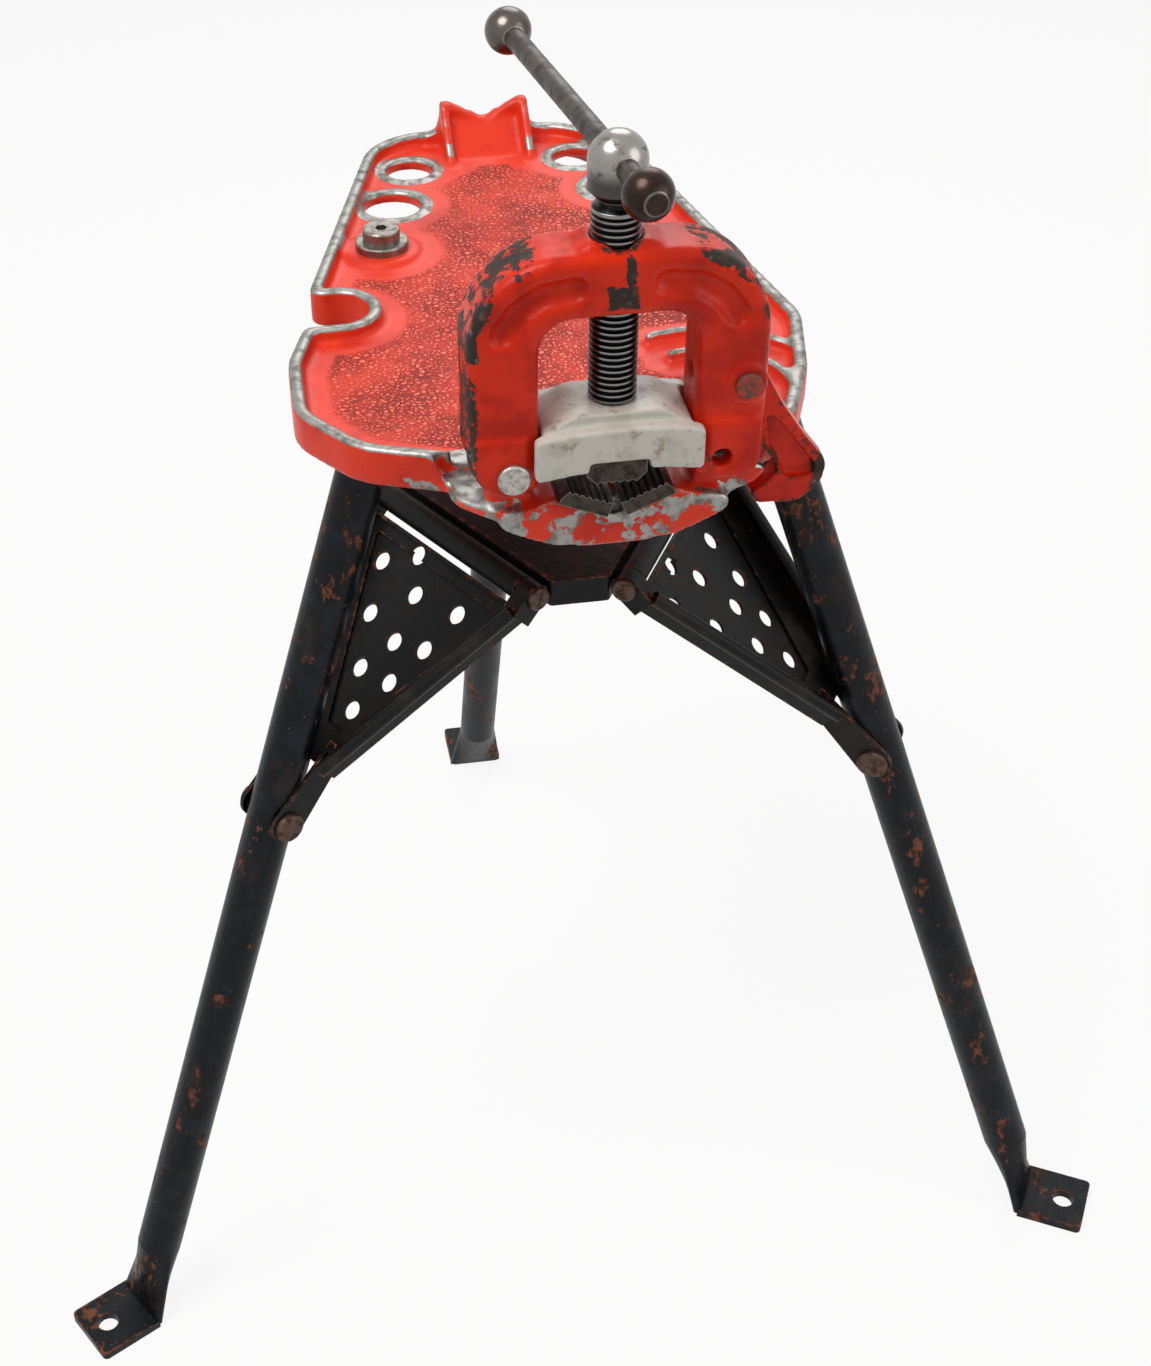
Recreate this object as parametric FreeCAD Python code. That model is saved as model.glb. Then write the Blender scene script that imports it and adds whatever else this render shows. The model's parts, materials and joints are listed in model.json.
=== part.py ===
import FreeCAD, Part
import os
from math import atan2, cos, degrees, hypot, pi, radians, sin, sqrt, tan

V = FreeCAD.Vector
UP = V(0, 0, 1)

# Frame: +Z up, +Y to the rear along the pipe, origin on the floor at the centre of the foot bolts.

# Driving dimensions, mm
DECK_Z = 736.0              # top of the tray's rim above the floor
SKIRT = 27.0                # depth of the tray's outer wall
SKIRT_WALL = 7.0
RIM_WIDTH = 9.0
RIM_DROP = 10.0             # rim top down to the tray's field
DECK_THICK = 8.0
RIM_ROUND = 2.6
PLATFORM_DROP = 18.0        # rim top down to the vise's platform
PLATFORM_LEFT = 95.0
PLATFORM_RIGHT = 79.0       # the shelf stops short of the hook
PLATFORM_SLOPE = 10.0       # width over which the rim drops to the platform
PLATFORM_REAR = -175.0
PLATFORM_FRONT = -220.0
PLATFORM_EDGE = 2.2         # rounding of the platform's lip
SMALL_HOLE_R = 17.0
LARGE_HOLE_R = 21.0
SMALL_HOLE_AT = (64.0, 248.0)
LARGE_HOLE_AT = (84.0, 189.0)
HOLE_RING = 6.0             # width of the plain ring round each tray hole
RING_RISE = 2.0
POST_AT = (-100.0, 116.0)
POST_BOSS_R = 27.0
POST_BOSS_RISE = 4.0
POST_R = 5.0
POST_WASHER_R = 18.8
POST_WASHER = 6.0
POST_HEAD_R = 13.2
POST_HEAD = 9.0
POST_NUT = 8.0
POST_NUT_ACROSS = 17.0
POST_END = 4.0              # thread past the nut
SOCKET_ACROSS = 8.0
NOTCH_Y = (-1.0, 43.0)      # side notch, for hanging a tool
NOTCH_TIP = 120.0
NOTCH_R = 21.0
NOTCH_LIP = 10.0
REST_HALF = 34.0            # pipe rest at the tray's rear edge
REST_RIB = 7.0
REST_RISE = 24.0
REST_VALLEY = 10.0          # bottom of the rest's V above the rim
REST_WALL = 9.0
REST_FRONT = 246.0
REST_REAR = 297.0
REST_FOOT = 12.0            # gusset beside each rib
BENDER_AT = (81.0, -124.0)
BENDER_RADII = (51.0, 78.0)
BENDER_RIB = 6.0
BENDER_SPAN = (-38.0, 148.0)

LEG_R = 16.7                # outside radius of the leg tube
LEG_WALL = 3.4
LEG_LEAN = radians(20.7)    # from upright
LEG_HINGE_DROP = 34.0       # rim top down to the leg hinge
LEG_HINGE_REACH = 148.3     # leg hinge from the stand's centre
TRAY_RIGHT = LEG_HINGE_REACH + 12.7
TRAY_LEFT = LEG_HINGE_REACH + 33.7
LEG_TOP_SPARE = 10.0        # tube past its hinge
LEG_BOLT_R = 6.0
LUG_THICK = 8.0
LUG_ROUND = 13.0
LUG_GAP = 0.5               # leg tube to each lug
FOOT_HOLE_R = 8.0
FOOT_THICK = 7.0
FOOT_WIDTH = 50.0
FOOT_TOE = 18.0             # foot hole to the foot's outer edge
FOOT_HEEL = 31.76           # foot hole to the bend
FOOT_FLARE = 62.0           # length over which the tube is pressed flat
HINGE_BOLT_ACROSS = 18.0
HINGE_BOLT_HEAD = 8.0
HINGE_BOLT_END = 3.0        # thread past the nut
BOLT_FIT = 0.2
RUN_FIT = 0.05              # radial clearance of a running fit

PIVOT_Z = 425.5             # leg rivet above the floor
RIVET_R = 5.0
RIVET_HEAD_R = 11.0
RIVET_HEAD = 4.0
EAR_THICK = 3.2
EAR_GAP = 0.6
EAR_R = 13.0
EAR_PLAY = 3.2              # open pivot: the ear's hole is larger than the rivet

HUB_REACH = 86.0            # hub centre to each hinge line
HUB_Z = 582.0
HUB_HALF = 92.0             # half length of the hub's hinge sides
HUB_TALL = 20.0
HUB_SHEET = 3.0
HUB_MIDDLE_R = 30.0
HUB_CORNER = 3.0
BARREL_WEB = 4.0
BARREL_R = 9.5
BARREL_HALF = 76.0
HINGE_PIN_R = 5.0
HINGE_PIN_HALF = 90.4
HINGE_HEAD = 3.0
PAN_SHEET = 2.5
PAN_FLOOR = -9.0            # underside of the pan below the line between its pivots
PAN_WALL = 17.0
PAN_ROLL_R = 5.0
PAN_START = 13.5
PAN_END = 183.0
PAN_WIDE = 88.0             # half width beside the hub
PAN_NARROW = 25.0           # half width beside the leg
PAN_STEP = 15.0             # border between the flange and the sunk panel
PAN_PANEL = (9.0, -26.0)    # sunk panel's ends from the pan's ends
PAN_NECK = 22.0             # from the pan's end back to the root of its ears
PAN_HOLE_R = 6.8
PAN_HOLES = ((-25, 23), (-52, 41), (-8, 47), (34, 41), (-34, 76), (0, 82), (27, 74),
             (-13, 111), (17, 107), (3, 138))

VISE_Y = -202.0             # centre of the yoke along the pipe
YOKE_DEEP = 42.0
YOKE_HALF = 88.0
YOKE_TOP = 143.0            # above the rim
YOKE_ARCH = 56.0            # radius of the yoke's shoulders
YOKE_FOOT = -6.0
YOKE_ROUND = 7.0
YOKE_CROWN = ((36.0, 138.0), (17.0, 147.5))
FOOT_ROUND = 26.0           # outer corner of the foot on its pin
HOOK_FOOT_ROUND = 14.0      # outer corner of the foot by the hook
WINDOW_HALF = 46.0
WINDOW_TOP = 104.0
WINDOW_ROUND = 20.0
FORK_GAP = 18.0
FORK_TOP = 25.0
PAD_TOP = 33.0              # flat pads on the yoke's feet
PAD_IN = 53.8
PAD_EDGE = 3.0
PAD_RISE = 3.0
PIN_X = 62.0
PIN_Z = 8.0                 # yoke pin above the rim
PIN_R = 6.0
PIN_HEAD_R = 10.0
PIN_HEAD = 3.5
YOKE_LUG = 17.0
YOKE_LUG_R = 13.5
HOOK_AT = (75.0, 56.0)
NOSE = (95.0, -14.0)        # tip of the lug that the hook catches
HOOK_PIN_R = 5.5
HOOK_PIN_HEAD = 2.5
HOOK_THICK = 16.0
HOOK_EYE_R = 12.0
HOOK_SIDE = 0.6             # hook to each side of its slot
HOOK_POCKET = 5.5
TOE_GAP = 3.2               # nose to the hook's toe, measured along X
HOOK_BOSS_R = 13.0
HOOK_BOSS = 3.0
LOCK_BORE_R = 5.0           # cross bore from the yoke's window to the hook's slot
POCKET_R = 9.0              # scooped pockets in the yoke's front shoulders
POCKET_PATH = ((26, 124), (45, 121.5), (58, 113), (67.5, 100))

SADDLE_HALF = 36.0
SADDLE_REAR = -180.0
SADDLE_LOW = -48.5          # bottom of the apron from the rim
SADDLE_PATH = ((80, -22), (62, -35), (38, -45.5))
JAW_LOW = -16.5             # bottom of the lower jaws' V, from the rim
JAW_SLOPE = radians(22.7)
JAW_GAP = 2.2               # apex of the V to each jaw
JAW_LENGTH = 32.0
JAW_THICK = 10.0
JAW_DEEP = 42.0
JAW_CHAMFER = (3.0, 6.0)
JAW_BOLT_R = 3.0
JAW_BOLT_ALONG = 18.0
JAW_BOLT_HEAD_R = 5.5
JAW_BOLT_HEAD = 5.0
JAW_BOLT_GRIP = 8.0         # saddle between a jaw and the screw's head
TOOTH_PITCH = 4.5
TOOTH_DEEP = 1.6
BLOCK_HALF = 50.0
BLOCK_BODY_HALF = 44.5
BLOCK_LOW = 6.0
BLOCK_SIDE_TOP = 33.5
BLOCK_ARCH = 4.5
BLOCK_HOLLOW = 4.5
BLOCK_CROWN = 44.0
BLOCK_CROWN_HALF = 26.0
FLANGE = 8.6
FLANGE_GAP = 0.4
INSERT_HALF = 18.0
INSERT_TOOTHED = 12.0       # half width of the insert's toothed face
INSERT_LOW = -4.0
INSERT_TOP = 16.0
INSERT_TEETH = 5
INSERT_BOLT_R = 2.5
INSERT_BOLT_Y = 13.0
KEEPER_R = 2.0
KEEPER_Z = 31.0
KEEPER_PLAY = 0.1
KEEPER_FRONT = 16.0         # keeper pin's front end ahead of the screw's axis

SCREW_R = 14.3
SCREW_ROOT_R = 12.3
THREAD_PITCH = 4.0
THREAD_TURNS = 29
SCREW_PIN_R = 9.0
SCREW_PIN_LOW = 25.0
NECK_R = 12.0
HEAD_Z = 190.0              # centre of the screw's head above the rim
HEAD_R = 17.0
HEAD_SIDE = 16.0            # cylinder below the head's dome
HEAD_CHIN = 5.0
BAR_R = 6.5
BAR_TURN = radians(8.0)     # handle bar from the pipe's line, towards -X
BAR_FAR = 200.0
BAR_NEAR = 47.0
BALL_R = 14.5

LEG_NAMES = (("left", 210.0), ("right", 330.0), ("rear", 90.0))

HINGE_Z = DECK_Z - LEG_HINGE_DROP
FIELD_Z = DECK_Z - RIM_DROP
FIELD_UNDER = FIELD_Z - DECK_THICK
PLATFORM_Z = DECK_Z - PLATFORM_DROP
PLATFORM_UNDER = PLATFORM_Z - DECK_THICK
SKIRT_Z = DECK_Z - SKIRT
FAR = 600.0


def box(x0, x1, y0, y1, z0, z1):
    return Part.makeBox(x1 - x0, y1 - y0, z1 - z0, V(x0, y0, z0))


def rod(radius, start, end):
    start = V(*start)
    line = V(*end) - start
    return Part.makeCylinder(radius, line.Length, start, line)


def ball(radius, centre):
    return Part.makeSphere(radius, V(*centre))


def corner_wire(corners):
    """Closed wire through (x, y, r) corners, each rounded by an arc of radius r."""
    arcs = []
    count = len(corners)
    for i, (x, y, r) in enumerate(corners):
        at = V(x, y, 0)
        back = (V(corners[i - 1][0], corners[i - 1][1], 0) - at).normalize()
        ahead = (V(corners[(i + 1) % count][0], corners[(i + 1) % count][1], 0) - at).normalize()
        half = back.getAngle(ahead) / 2
        inward = (back + ahead).normalize()
        middle = at + inward * (r / sin(half) - r)
        arcs.append((at + back * (r / tan(half)), middle, at + ahead * (r / tan(half))))
    edges = []
    for i, (start, middle, end) in enumerate(arcs):
        if (end - start).Length > 0.001:
            edges.append(Part.Arc(start, middle, end).toShape())
        following = arcs[(i + 1) % count][0]
        if (following - end).Length > 0.001:
            edges.append(Part.LineSegment(end, following).toShape())
    return Part.Wire(edges)


def flat(corners):
    return Part.Face(corner_wire(corners))


def slab(corners, low, high):
    """Rounded outline in plan, extruded from low to high in Z."""
    shape = flat(corners)
    shape.translate(V(0, 0, low))
    return shape.extrude(V(0, 0, high - low))


def plate(corners, front, rear):
    """Rounded outline given as (x, z, r), extruded from front to rear in Y."""
    shape = flat(corners)
    shape.rotate(V(0, 0, 0), V(1, 0, 0), 90)
    shape.translate(V(0, front, 0))
    return shape.extrude(V(0, rear - front, 0))


def from_rim(corners):
    return [(x, z + DECK_Z, r) for x, z, r in corners]


def join(shapes):
    shapes = list(shapes)
    return shapes[0].multiFuse(shapes[1:]).removeSplitter()


def rounded(shape, radius, wanted):
    """Fillet the edges of shape for which wanted(edge) is true."""
    return shape.makeFillet(radius, [edge for edge in shape.Edges if wanted(edge)])


def hexagon(across, low, high, at):
    radius = across / sqrt(3)
    points = [V(at[0] + radius * cos(k * pi / 3), at[1] + radius * sin(k * pi / 3), low) for k in range(7)]
    return Part.Face(Part.makePolygon(points)).extrude(V(0, 0, high - low))


def swung(shape, azimuth):
    """Turn a shape made with its radial direction along +X to a leg's azimuth."""
    copy = shape.copy()
    copy.rotate(V(0, 0, 0), UP, azimuth)
    return copy


# Tray casting

def tray_corners():
    right, left = TRAY_RIGHT, TRAY_LEFT
    low, high = NOTCH_Y
    return [(34, -223, 45), (82, -196, 24), (right - 37, -166, 30), (right - 14, -108, 60), (right, -42, 35),
            (right - 48, 212, 60), (right - 89, 299, 50), (95 - left, 299, 55), (22 - left, high, NOTCH_LIP),
            (-NOTCH_TIP, high, NOTCH_R), (-NOTCH_TIP, low, NOTCH_R), (16 - left, low, NOTCH_LIP),
            (2 - left, -45, 50), (-left, -112, 40), (34 - left, -161, 50), (87 - left, -181.5, 24),
            (-34, -218, 45)]


def tray_shell():
    outline = flat(tray_corners())
    shell = outline.copy()
    shell.translate(V(0, 0, SKIRT_Z))
    shell = shell.extrude(V(0, 0, SKIRT))
    inner = outline.makeOffset2D(-RIM_WIDTH)
    inner.translate(V(0, 0, FIELD_Z))
    shell = shell.cut(inner.extrude(V(0, 0, FAR)))
    shell = rounded(shell, RIM_ROUND, lambda edge: edge.BoundBox.ZMin > DECK_Z - 0.01)
    hollow = outline.makeOffset2D(-SKIRT_WALL)
    hollow.translate(V(0, 0, SKIRT_Z))
    hollow = hollow.extrude(V(0, 0, FIELD_UNDER - SKIRT_Z))
    hollow = hollow.cut(box(-FAR, FAR, -FAR, PLATFORM_REAR + DECK_THICK, PLATFORM_UNDER, FAR + DECK_Z))
    shell = shell.cut(hollow)
    wide = PLATFORM_LEFT + PLATFORM_SLOPE
    front = plate(from_rim([(-PLATFORM_LEFT, -PLATFORM_DROP, 8), (-wide, 0, 0), (-wide, FAR, 0),
                            (wide, FAR, 0), (wide, 0, 0), (PLATFORM_LEFT, -PLATFORM_DROP, 8)]),
                  -FAR, PLATFORM_REAR)
    return join([shell, platform()]).cut(front)


def platform():
    """Shelf that stands out under the yoke's feet."""
    left, right, front, rear = PLATFORM_LEFT, PLATFORM_RIGHT, PLATFORM_FRONT, PLATFORM_REAR
    shelf = slab([(-left, rear, 0), (-left, front + 24, 20), (24 - left, front, 24), (right - 20, front, 22),
                  (right, front + 22, 14), (right, rear, 0)], PLATFORM_UNDER, PLATFORM_Z)
    return rounded(shelf, PLATFORM_EDGE,
                   lambda edge: edge.BoundBox.ZMin > PLATFORM_Z - 0.01 and edge.BoundBox.YMin < rear - 1)


def tray_holes():
    for r, (x, y) in ((SMALL_HOLE_R, SMALL_HOLE_AT), (LARGE_HOLE_R, LARGE_HOLE_AT)):
        for side in (-1, 1):
            yield r, side * x, y


def standing(outline, low, high):
    """Outline given as (y, z), extruded from low to high in X."""
    points = [V(low, y, z) for y, z in outline]
    return Part.Face(Part.makePolygon(points + points[:1])).extrude(V(high - low, 0, 0))


def pipe_rest():
    """Upright V rest with a rib down to the field at each side."""
    top, valley, half, rib = REST_RISE, REST_VALLEY, REST_HALF, REST_RIB
    front, rear = REST_REAR - REST_WALL, REST_REAR
    side_rib = [(REST_FRONT, FIELD_Z), (rear, FIELD_Z), (rear, DECK_Z + top), (front, DECK_Z + top)]
    ramp = [(REST_FRONT + 14, FIELD_Z), (rear, FIELD_Z), (rear, DECK_Z + valley + 6),
            (front, DECK_Z + valley)]
    pieces = []
    for side in (-1, 1):
        low = side * (half - rib / 2) - rib / 2
        pieces.append(standing(side_rib, low, low + rib))
        foot = [(side * (half - 1), -RIM_DROP, 0), (side * (half + REST_FOOT), -RIM_DROP, 0),
                (side * (half + REST_FOOT), 0, 0), (side * (half + 3), 1, REST_FOOT / 2),
                (side * (half - 1), top - 4, 0)]
        pieces.append(plate(from_rim(foot), front, rear))
    pieces.append(plate(from_rim([(-half, -RIM_DROP, 0), (half, -RIM_DROP, 0), (half, top, 2),
                                  (half - rib, top, 2), (0, valley - 1, 6), (rib - half, top, 2),
                                  (-half, top, 2)]), front, rear))
    cutter = plate(from_rim([(-FAR, FAR, 0), (0, valley - 3, 0), (FAR, FAR, 0)]), REST_FRONT - 1, rear + 1)
    pieces.append(standing(ramp, -half, half).cut(cutter))
    return join(pieces)


def bender_ribs(field):
    ribs = []
    for radius in BENDER_RADII:
        at = V(BENDER_AT[0], BENDER_AT[1], FIELD_Z)
        ring = Part.makeCylinder(radius + BENDER_RIB / 2, RIM_DROP - 1.5, at, UP, BENDER_SPAN[1])
        ring = ring.cut(Part.makeCylinder(radius - BENDER_RIB / 2, RIM_DROP, at, UP))
        ring.rotate(at, UP, BENDER_SPAN[0])
        ribs.append(ring.common(field))
    return ribs


def leg_lugs():
    lugs = []
    inner = LEG_R + LUG_GAP
    for side in (-1, 1):
        low = min(side * inner, side * (inner + LUG_THICK))
        lug = plate([(LEG_HINGE_REACH - LUG_ROUND, HINGE_Z - LUG_ROUND, LUG_ROUND),
                     (LEG_HINGE_REACH + LUG_ROUND, HINGE_Z - LUG_ROUND, LUG_ROUND),
                     (LEG_HINGE_REACH + LUG_ROUND, FIELD_UNDER + 2, 0),
                     (LEG_HINGE_REACH - LUG_ROUND, FIELD_UNDER + 2, 0)], low, low + LUG_THICK)
        lugs.append(lug)
    bore = rod(LEG_BOLT_R + BOLT_FIT, (LEG_HINGE_REACH, -FAR, HINGE_Z), (LEG_HINGE_REACH, FAR, HINGE_Z))
    pair = Part.makeCompound(lugs).cut(bore)
    return [swung(pair, azimuth) for name, azimuth in LEG_NAMES]


def yoke_lugs():
    """Lugs that the yoke's forked feet straddle; the right one has the nose that the hook catches."""
    front, rear = VISE_Y - YOKE_LUG / 2, VISE_Y + YOKE_LUG / 2
    root, top = PLATFORM_UNDER - DECK_Z, PIN_Z + YOKE_LUG_R
    lugs = []
    for side in (-1, 1):
        x = side * PIN_X
        lugs.append(plate(from_rim([(x - YOKE_LUG_R, root, 0), (x + YOKE_LUG_R, root, 0),
                                    (x + YOKE_LUG_R, top, YOKE_LUG_R - 0.1),
                                    (x - YOKE_LUG_R, top, YOKE_LUG_R - 0.1)]), front, rear))
    x, z = NOSE
    lugs.append(plate(from_rim([(PIN_X, -4, 0), (PIN_X + 14, -7, 8), (x - 9, z + 7, 4), (x - 3.5, z + 4, 2),
                                (x - 0.4, z + 1, 1.5), (x - 6.5, z - 6.5, 2), (PIN_X + 10, root - 1, 4),
                                (PIN_X, root, 0)]), front, rear))
    bore = [rod(PIN_R + RUN_FIT, (side * PIN_X, -FAR, DECK_Z + PIN_Z), (side * PIN_X, FAR, DECK_Z + PIN_Z))
            for side in (-1, 1)]
    return join(lugs).cut(Part.makeCompound(bore))


def saddle():
    """Block under the lower jaws, down to the tray's bowed apron."""
    half, top = SADDLE_HALF, jaw_seat() + SADDLE_HALF * tan(JAW_SLOPE)
    under = PLATFORM_UNDER - DECK_Z + 1
    left = [(-x, z, 24 if x < 60 else 6) for x, z in SADDLE_PATH]
    right = [(-x, z, r) for x, z, r in reversed(left)]
    bottom = left + [(-14, SADDLE_LOW, 30), (14, SADDLE_LOW, 30)] + right
    apron = plate(from_rim(bottom + [(half + 16, under + 6, 6), (half, top, 4), (-half, top, 4),
                                     (-half - 16, under + 6, 6)]), PLATFORM_FRONT - 1, SADDLE_REAR)
    return apron


def jaw_seat():
    """Apex of the V that the lower jaws lie in, from the rim."""
    return JAW_LOW - JAW_THICK / cos(JAW_SLOPE)


def jaw_groove():
    rise = FAR * tan(JAW_SLOPE)
    return plate(from_rim([(0, jaw_seat(), 0), (FAR, jaw_seat() + rise, 0), (-FAR, jaw_seat() + rise, 0)]),
                 -FAR, SADDLE_REAR).common(box(-SADDLE_HALF, SADDLE_HALF, -FAR, FAR, 0, DECK_Z + FAR))


def vise_base():
    shell = tray_shell()
    field = flat(tray_corners()).makeOffset2D(-RIM_WIDTH / 2)
    field.translate(V(0, 0, FIELD_Z))
    field = field.extrude(V(0, 0, RIM_DROP))
    added = [pipe_rest(), yoke_lugs(), saddle()] + leg_lugs() + bender_ribs(field)
    added.append(Part.makeCylinder(POST_BOSS_R, POST_BOSS_RISE + 1, V(*POST_AT, FIELD_Z - 1)))
    for r, x, y in tray_holes():
        added.append(Part.makeCylinder(r + HOLE_RING, RING_RISE + 1, V(x, y, FIELD_Z - 1)))
    base = join([shell] + added)
    for r, x, y in tray_holes():
        base = base.cut(Part.makeCylinder(r, FAR, V(x, y, SKIRT_Z)))
    base = base.cut(Part.makeCylinder(POST_R + BOLT_FIT, FAR, V(*POST_AT, SKIRT_Z)))
    base = base.cut(jaw_groove())
    return base.cut(Part.makeCompound(jaw_screw_bores()))


# Post screw in the tray

def post_seat():
    return FIELD_Z + POST_BOSS_RISE + POST_WASHER


def tray_washer():
    low = FIELD_Z + POST_BOSS_RISE
    ring = Part.makeCylinder(POST_WASHER_R, POST_WASHER, V(*POST_AT, low))
    ring = rounded(ring, POST_WASHER / 4, lambda edge: edge.BoundBox.ZMin > low + POST_WASHER - 0.01)
    return ring.cut(Part.makeCylinder(POST_R + BOLT_FIT, FAR, V(*POST_AT, low - 1)))


def tray_bolt():
    head = Part.makeCylinder(POST_HEAD_R, POST_HEAD, V(*POST_AT, post_seat()))
    head = rounded(head, POST_HEAD / 6, lambda edge: edge.BoundBox.ZMin > post_seat() + POST_HEAD - 0.01)
    head = head.cut(hexagon(SOCKET_ACROSS, post_seat() + POST_HEAD / 2, post_seat() + FAR, POST_AT))
    low = FIELD_UNDER - POST_NUT - POST_END
    return join([head, Part.makeCylinder(POST_R, post_seat() - low + 1, V(*POST_AT, low))])


def tray_nut():
    nut = hexagon(POST_NUT_ACROSS, FIELD_UNDER - POST_NUT, FIELD_UNDER, POST_AT)
    return nut.cut(Part.makeCylinder(POST_R, FAR, V(*POST_AT, SKIRT_Z)))


# Lower jaws

def lower_jaw(side):
    """Toothed slab, made flat with its teeth up and then tilted into the V."""
    front, rear = VISE_Y - JAW_DEEP / 2 - 3, VISE_Y + JAW_DEEP / 2 - 3
    end = JAW_GAP + JAW_LENGTH
    jaw = plate([(JAW_GAP, -JAW_THICK, 0), (end, -JAW_THICK, 0), (end, -JAW_CHAMFER[1], 0),
                 (end - JAW_CHAMFER[0], 0, 0), (JAW_GAP, 0, 0)], front, rear)
    grooves = []
    for i in range(int((JAW_LENGTH - JAW_CHAMFER[0]) / TOOTH_PITCH)):
        x = JAW_GAP + (i + 0.5) * TOOTH_PITCH
        grooves.append(plate([(x, 1, 0), (x + TOOTH_PITCH / 2, -TOOTH_DEEP, 0), (x + TOOTH_PITCH, 1, 0)],
                             front - 1, rear + 1))
    jaw = jaw.cut(Part.makeCompound(grooves))
    return tilted(jaw.cut(jaw_bolt(JAW_BOLT_R, 2 * JAW_THICK, JAW_THICK / 3)), side)


def jaw_bolt(radius, low, high):
    """Rod on the jaw screw's axis, between two depths below the flat jaw's face."""
    return rod(radius, (JAW_BOLT_ALONG, VISE_Y, -low), (JAW_BOLT_ALONG, VISE_Y, -high))


def tilted(shape, side):
    shape.rotate(V(0, 0, 0), V(0, 1, 0), -degrees(JAW_SLOPE))
    shape.translate(V(0, 0, DECK_Z + JAW_LOW))
    return shape if side > 0 else shape.mirror(V(0, 0, 0), V(1, 0, 0))


def lower_jaw_screws():
    head = JAW_THICK + JAW_BOLT_GRIP
    screws = []
    for side in (-1, 1):
        shank = jaw_bolt(JAW_BOLT_R, head + 1, JAW_THICK / 3 + 1)
        screws.append(tilted(join([shank, jaw_bolt(JAW_BOLT_HEAD_R, head + JAW_BOLT_HEAD, head)]), side))
    return Part.makeCompound(screws)


def jaw_screw_bores():
    return [tilted(join([jaw_bolt(JAW_BOLT_R + BOLT_FIT, FAR, 0),
                         jaw_bolt(JAW_BOLT_HEAD_R + 1, FAR, JAW_THICK + JAW_BOLT_GRIP)]), side)
            for side in (-1, 1)]


# Yoke, its pin, and the hook

def yoke():
    front, rear = VISE_Y - YOKE_DEEP / 2, VISE_Y + YOKE_DEEP / 2
    half, window = YOKE_HALF, WINDOW_HALF
    body = plate(from_rim([(-half, YOKE_FOOT, FOOT_ROUND), (-half, YOKE_TOP, YOKE_ARCH),
                           (half, YOKE_TOP, YOKE_ARCH),
                           (half, YOKE_FOOT, HOOK_FOOT_ROUND), (window, YOKE_FOOT, 4),
                           (window, WINDOW_TOP, WINDOW_ROUND), (-window, WINDOW_TOP, WINDOW_ROUND),
                           (-window, YOKE_FOOT, 4)]), front, rear)
    body = rounded(body, YOKE_ROUND,
                   lambda edge: edge.BoundBox.YLength < 0.01 and edge.BoundBox.ZMax > DECK_Z + 40)
    (wide, foot), (narrow, top) = YOKE_CROWN
    crown = plate(from_rim([(-wide, foot - 12, 0), (wide, foot - 12, 0), (wide, foot, 0), (narrow, top, 8),
                            (-narrow, top, 8), (-wide, foot, 0)]), front + YOKE_ROUND, rear - YOKE_ROUND)
    crown = rounded(crown, 3,
                    lambda edge: edge.BoundBox.YLength < 0.01 and edge.BoundBox.ZMin > DECK_Z + foot - 1)
    boss = rod(HOOK_BOSS_R, (HOOK_AT[0] - 1, front - HOOK_BOSS, DECK_Z + HOOK_AT[1]),
               (HOOK_AT[0] - 1, front + 2, DECK_Z + HOOK_AT[1]))
    pads = []
    for side, corner in ((-1, FOOT_ROUND - 4), (1, HOOK_FOOT_ROUND - 2)):
        outer = side * (half - PAD_EDGE)
        pads.append(plate(from_rim([(side * PAD_IN, YOKE_FOOT, 4), (outer, YOKE_FOOT, corner),
                                    (outer, PAD_TOP, 1),
                                    (side * PAD_IN, PAD_TOP, 1)]), front - PAD_RISE, front + YOKE_ROUND))
    body = join([body, crown, boss] + pads)
    cuts = [rod(SCREW_R + RUN_FIT, (0, VISE_Y, DECK_Z + WINDOW_TOP - 10),
                (0, VISE_Y, DECK_Z + YOKE_TOP + 40))]
    for side in (-1, 1):
        cuts.append(rod(PIN_R, (side * PIN_X, front - 9, DECK_Z + PIN_Z),
                        (side * PIN_X, rear + 1, DECK_Z + PIN_Z)))
        inner, outer = sorted((side * (window - 1), side * (half + 1)))
        cuts.append(box(inner, outer, VISE_Y - FORK_GAP / 2, VISE_Y + FORK_GAP / 2,
                        DECK_Z + YOKE_FOOT - 1, DECK_Z + FORK_TOP))
        path = [(side * x, front - POCKET_R / 3, DECK_Z + z) for x, z in POCKET_PATH]
        cuts.append(join([ball(POCKET_R, point) for point in path]
                         + [rod(POCKET_R, start, end) for start, end in zip(path, path[1:])]))
    slot = HOOK_THICK / 2 + HOOK_SIDE
    x, z = HOOK_AT[0], DECK_Z + HOOK_AT[1]
    cuts.append(box(x - HOOK_EYE_R - 1.5, FAR, VISE_Y - slot, VISE_Y + slot,
                    DECK_Z + FORK_TOP - 1, z + HOOK_EYE_R + 6))
    cuts.append(rod(HOOK_PIN_R, (x, front - 20, z), (x, rear + 20, z)))
    cuts.append(rod(LOCK_BORE_R, (window - 1, VISE_Y, z), (x - 4, VISE_Y, z)))
    return body.cut(Part.makeCompound(cuts))


def headed_pin(radius, head_r, head, x, z, front, rear):
    """Pin along Y with a domed head at each end, proud of front and rear."""
    shank = rod(radius, (x, front - 1, z), (x, rear + 1, z))
    near = rod(head_r, (x, front - head, z), (x, front, z))
    near = rounded(near, head * 0.6, lambda edge: edge.BoundBox.YMax < front - head + 0.01)
    far = rod(head_r, (x, rear, z), (x, rear + head, z))
    far = rounded(far, head * 0.6, lambda edge: edge.BoundBox.YMin > rear + head - 0.01)
    return join([shank, near, far])


def yoke_pin():
    return headed_pin(PIN_R, PIN_HEAD_R, PIN_HEAD, -PIN_X, DECK_Z + PIN_Z,
                      VISE_Y - YOKE_DEEP / 2 - PAD_RISE, VISE_Y + YOKE_DEEP / 2)


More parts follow.
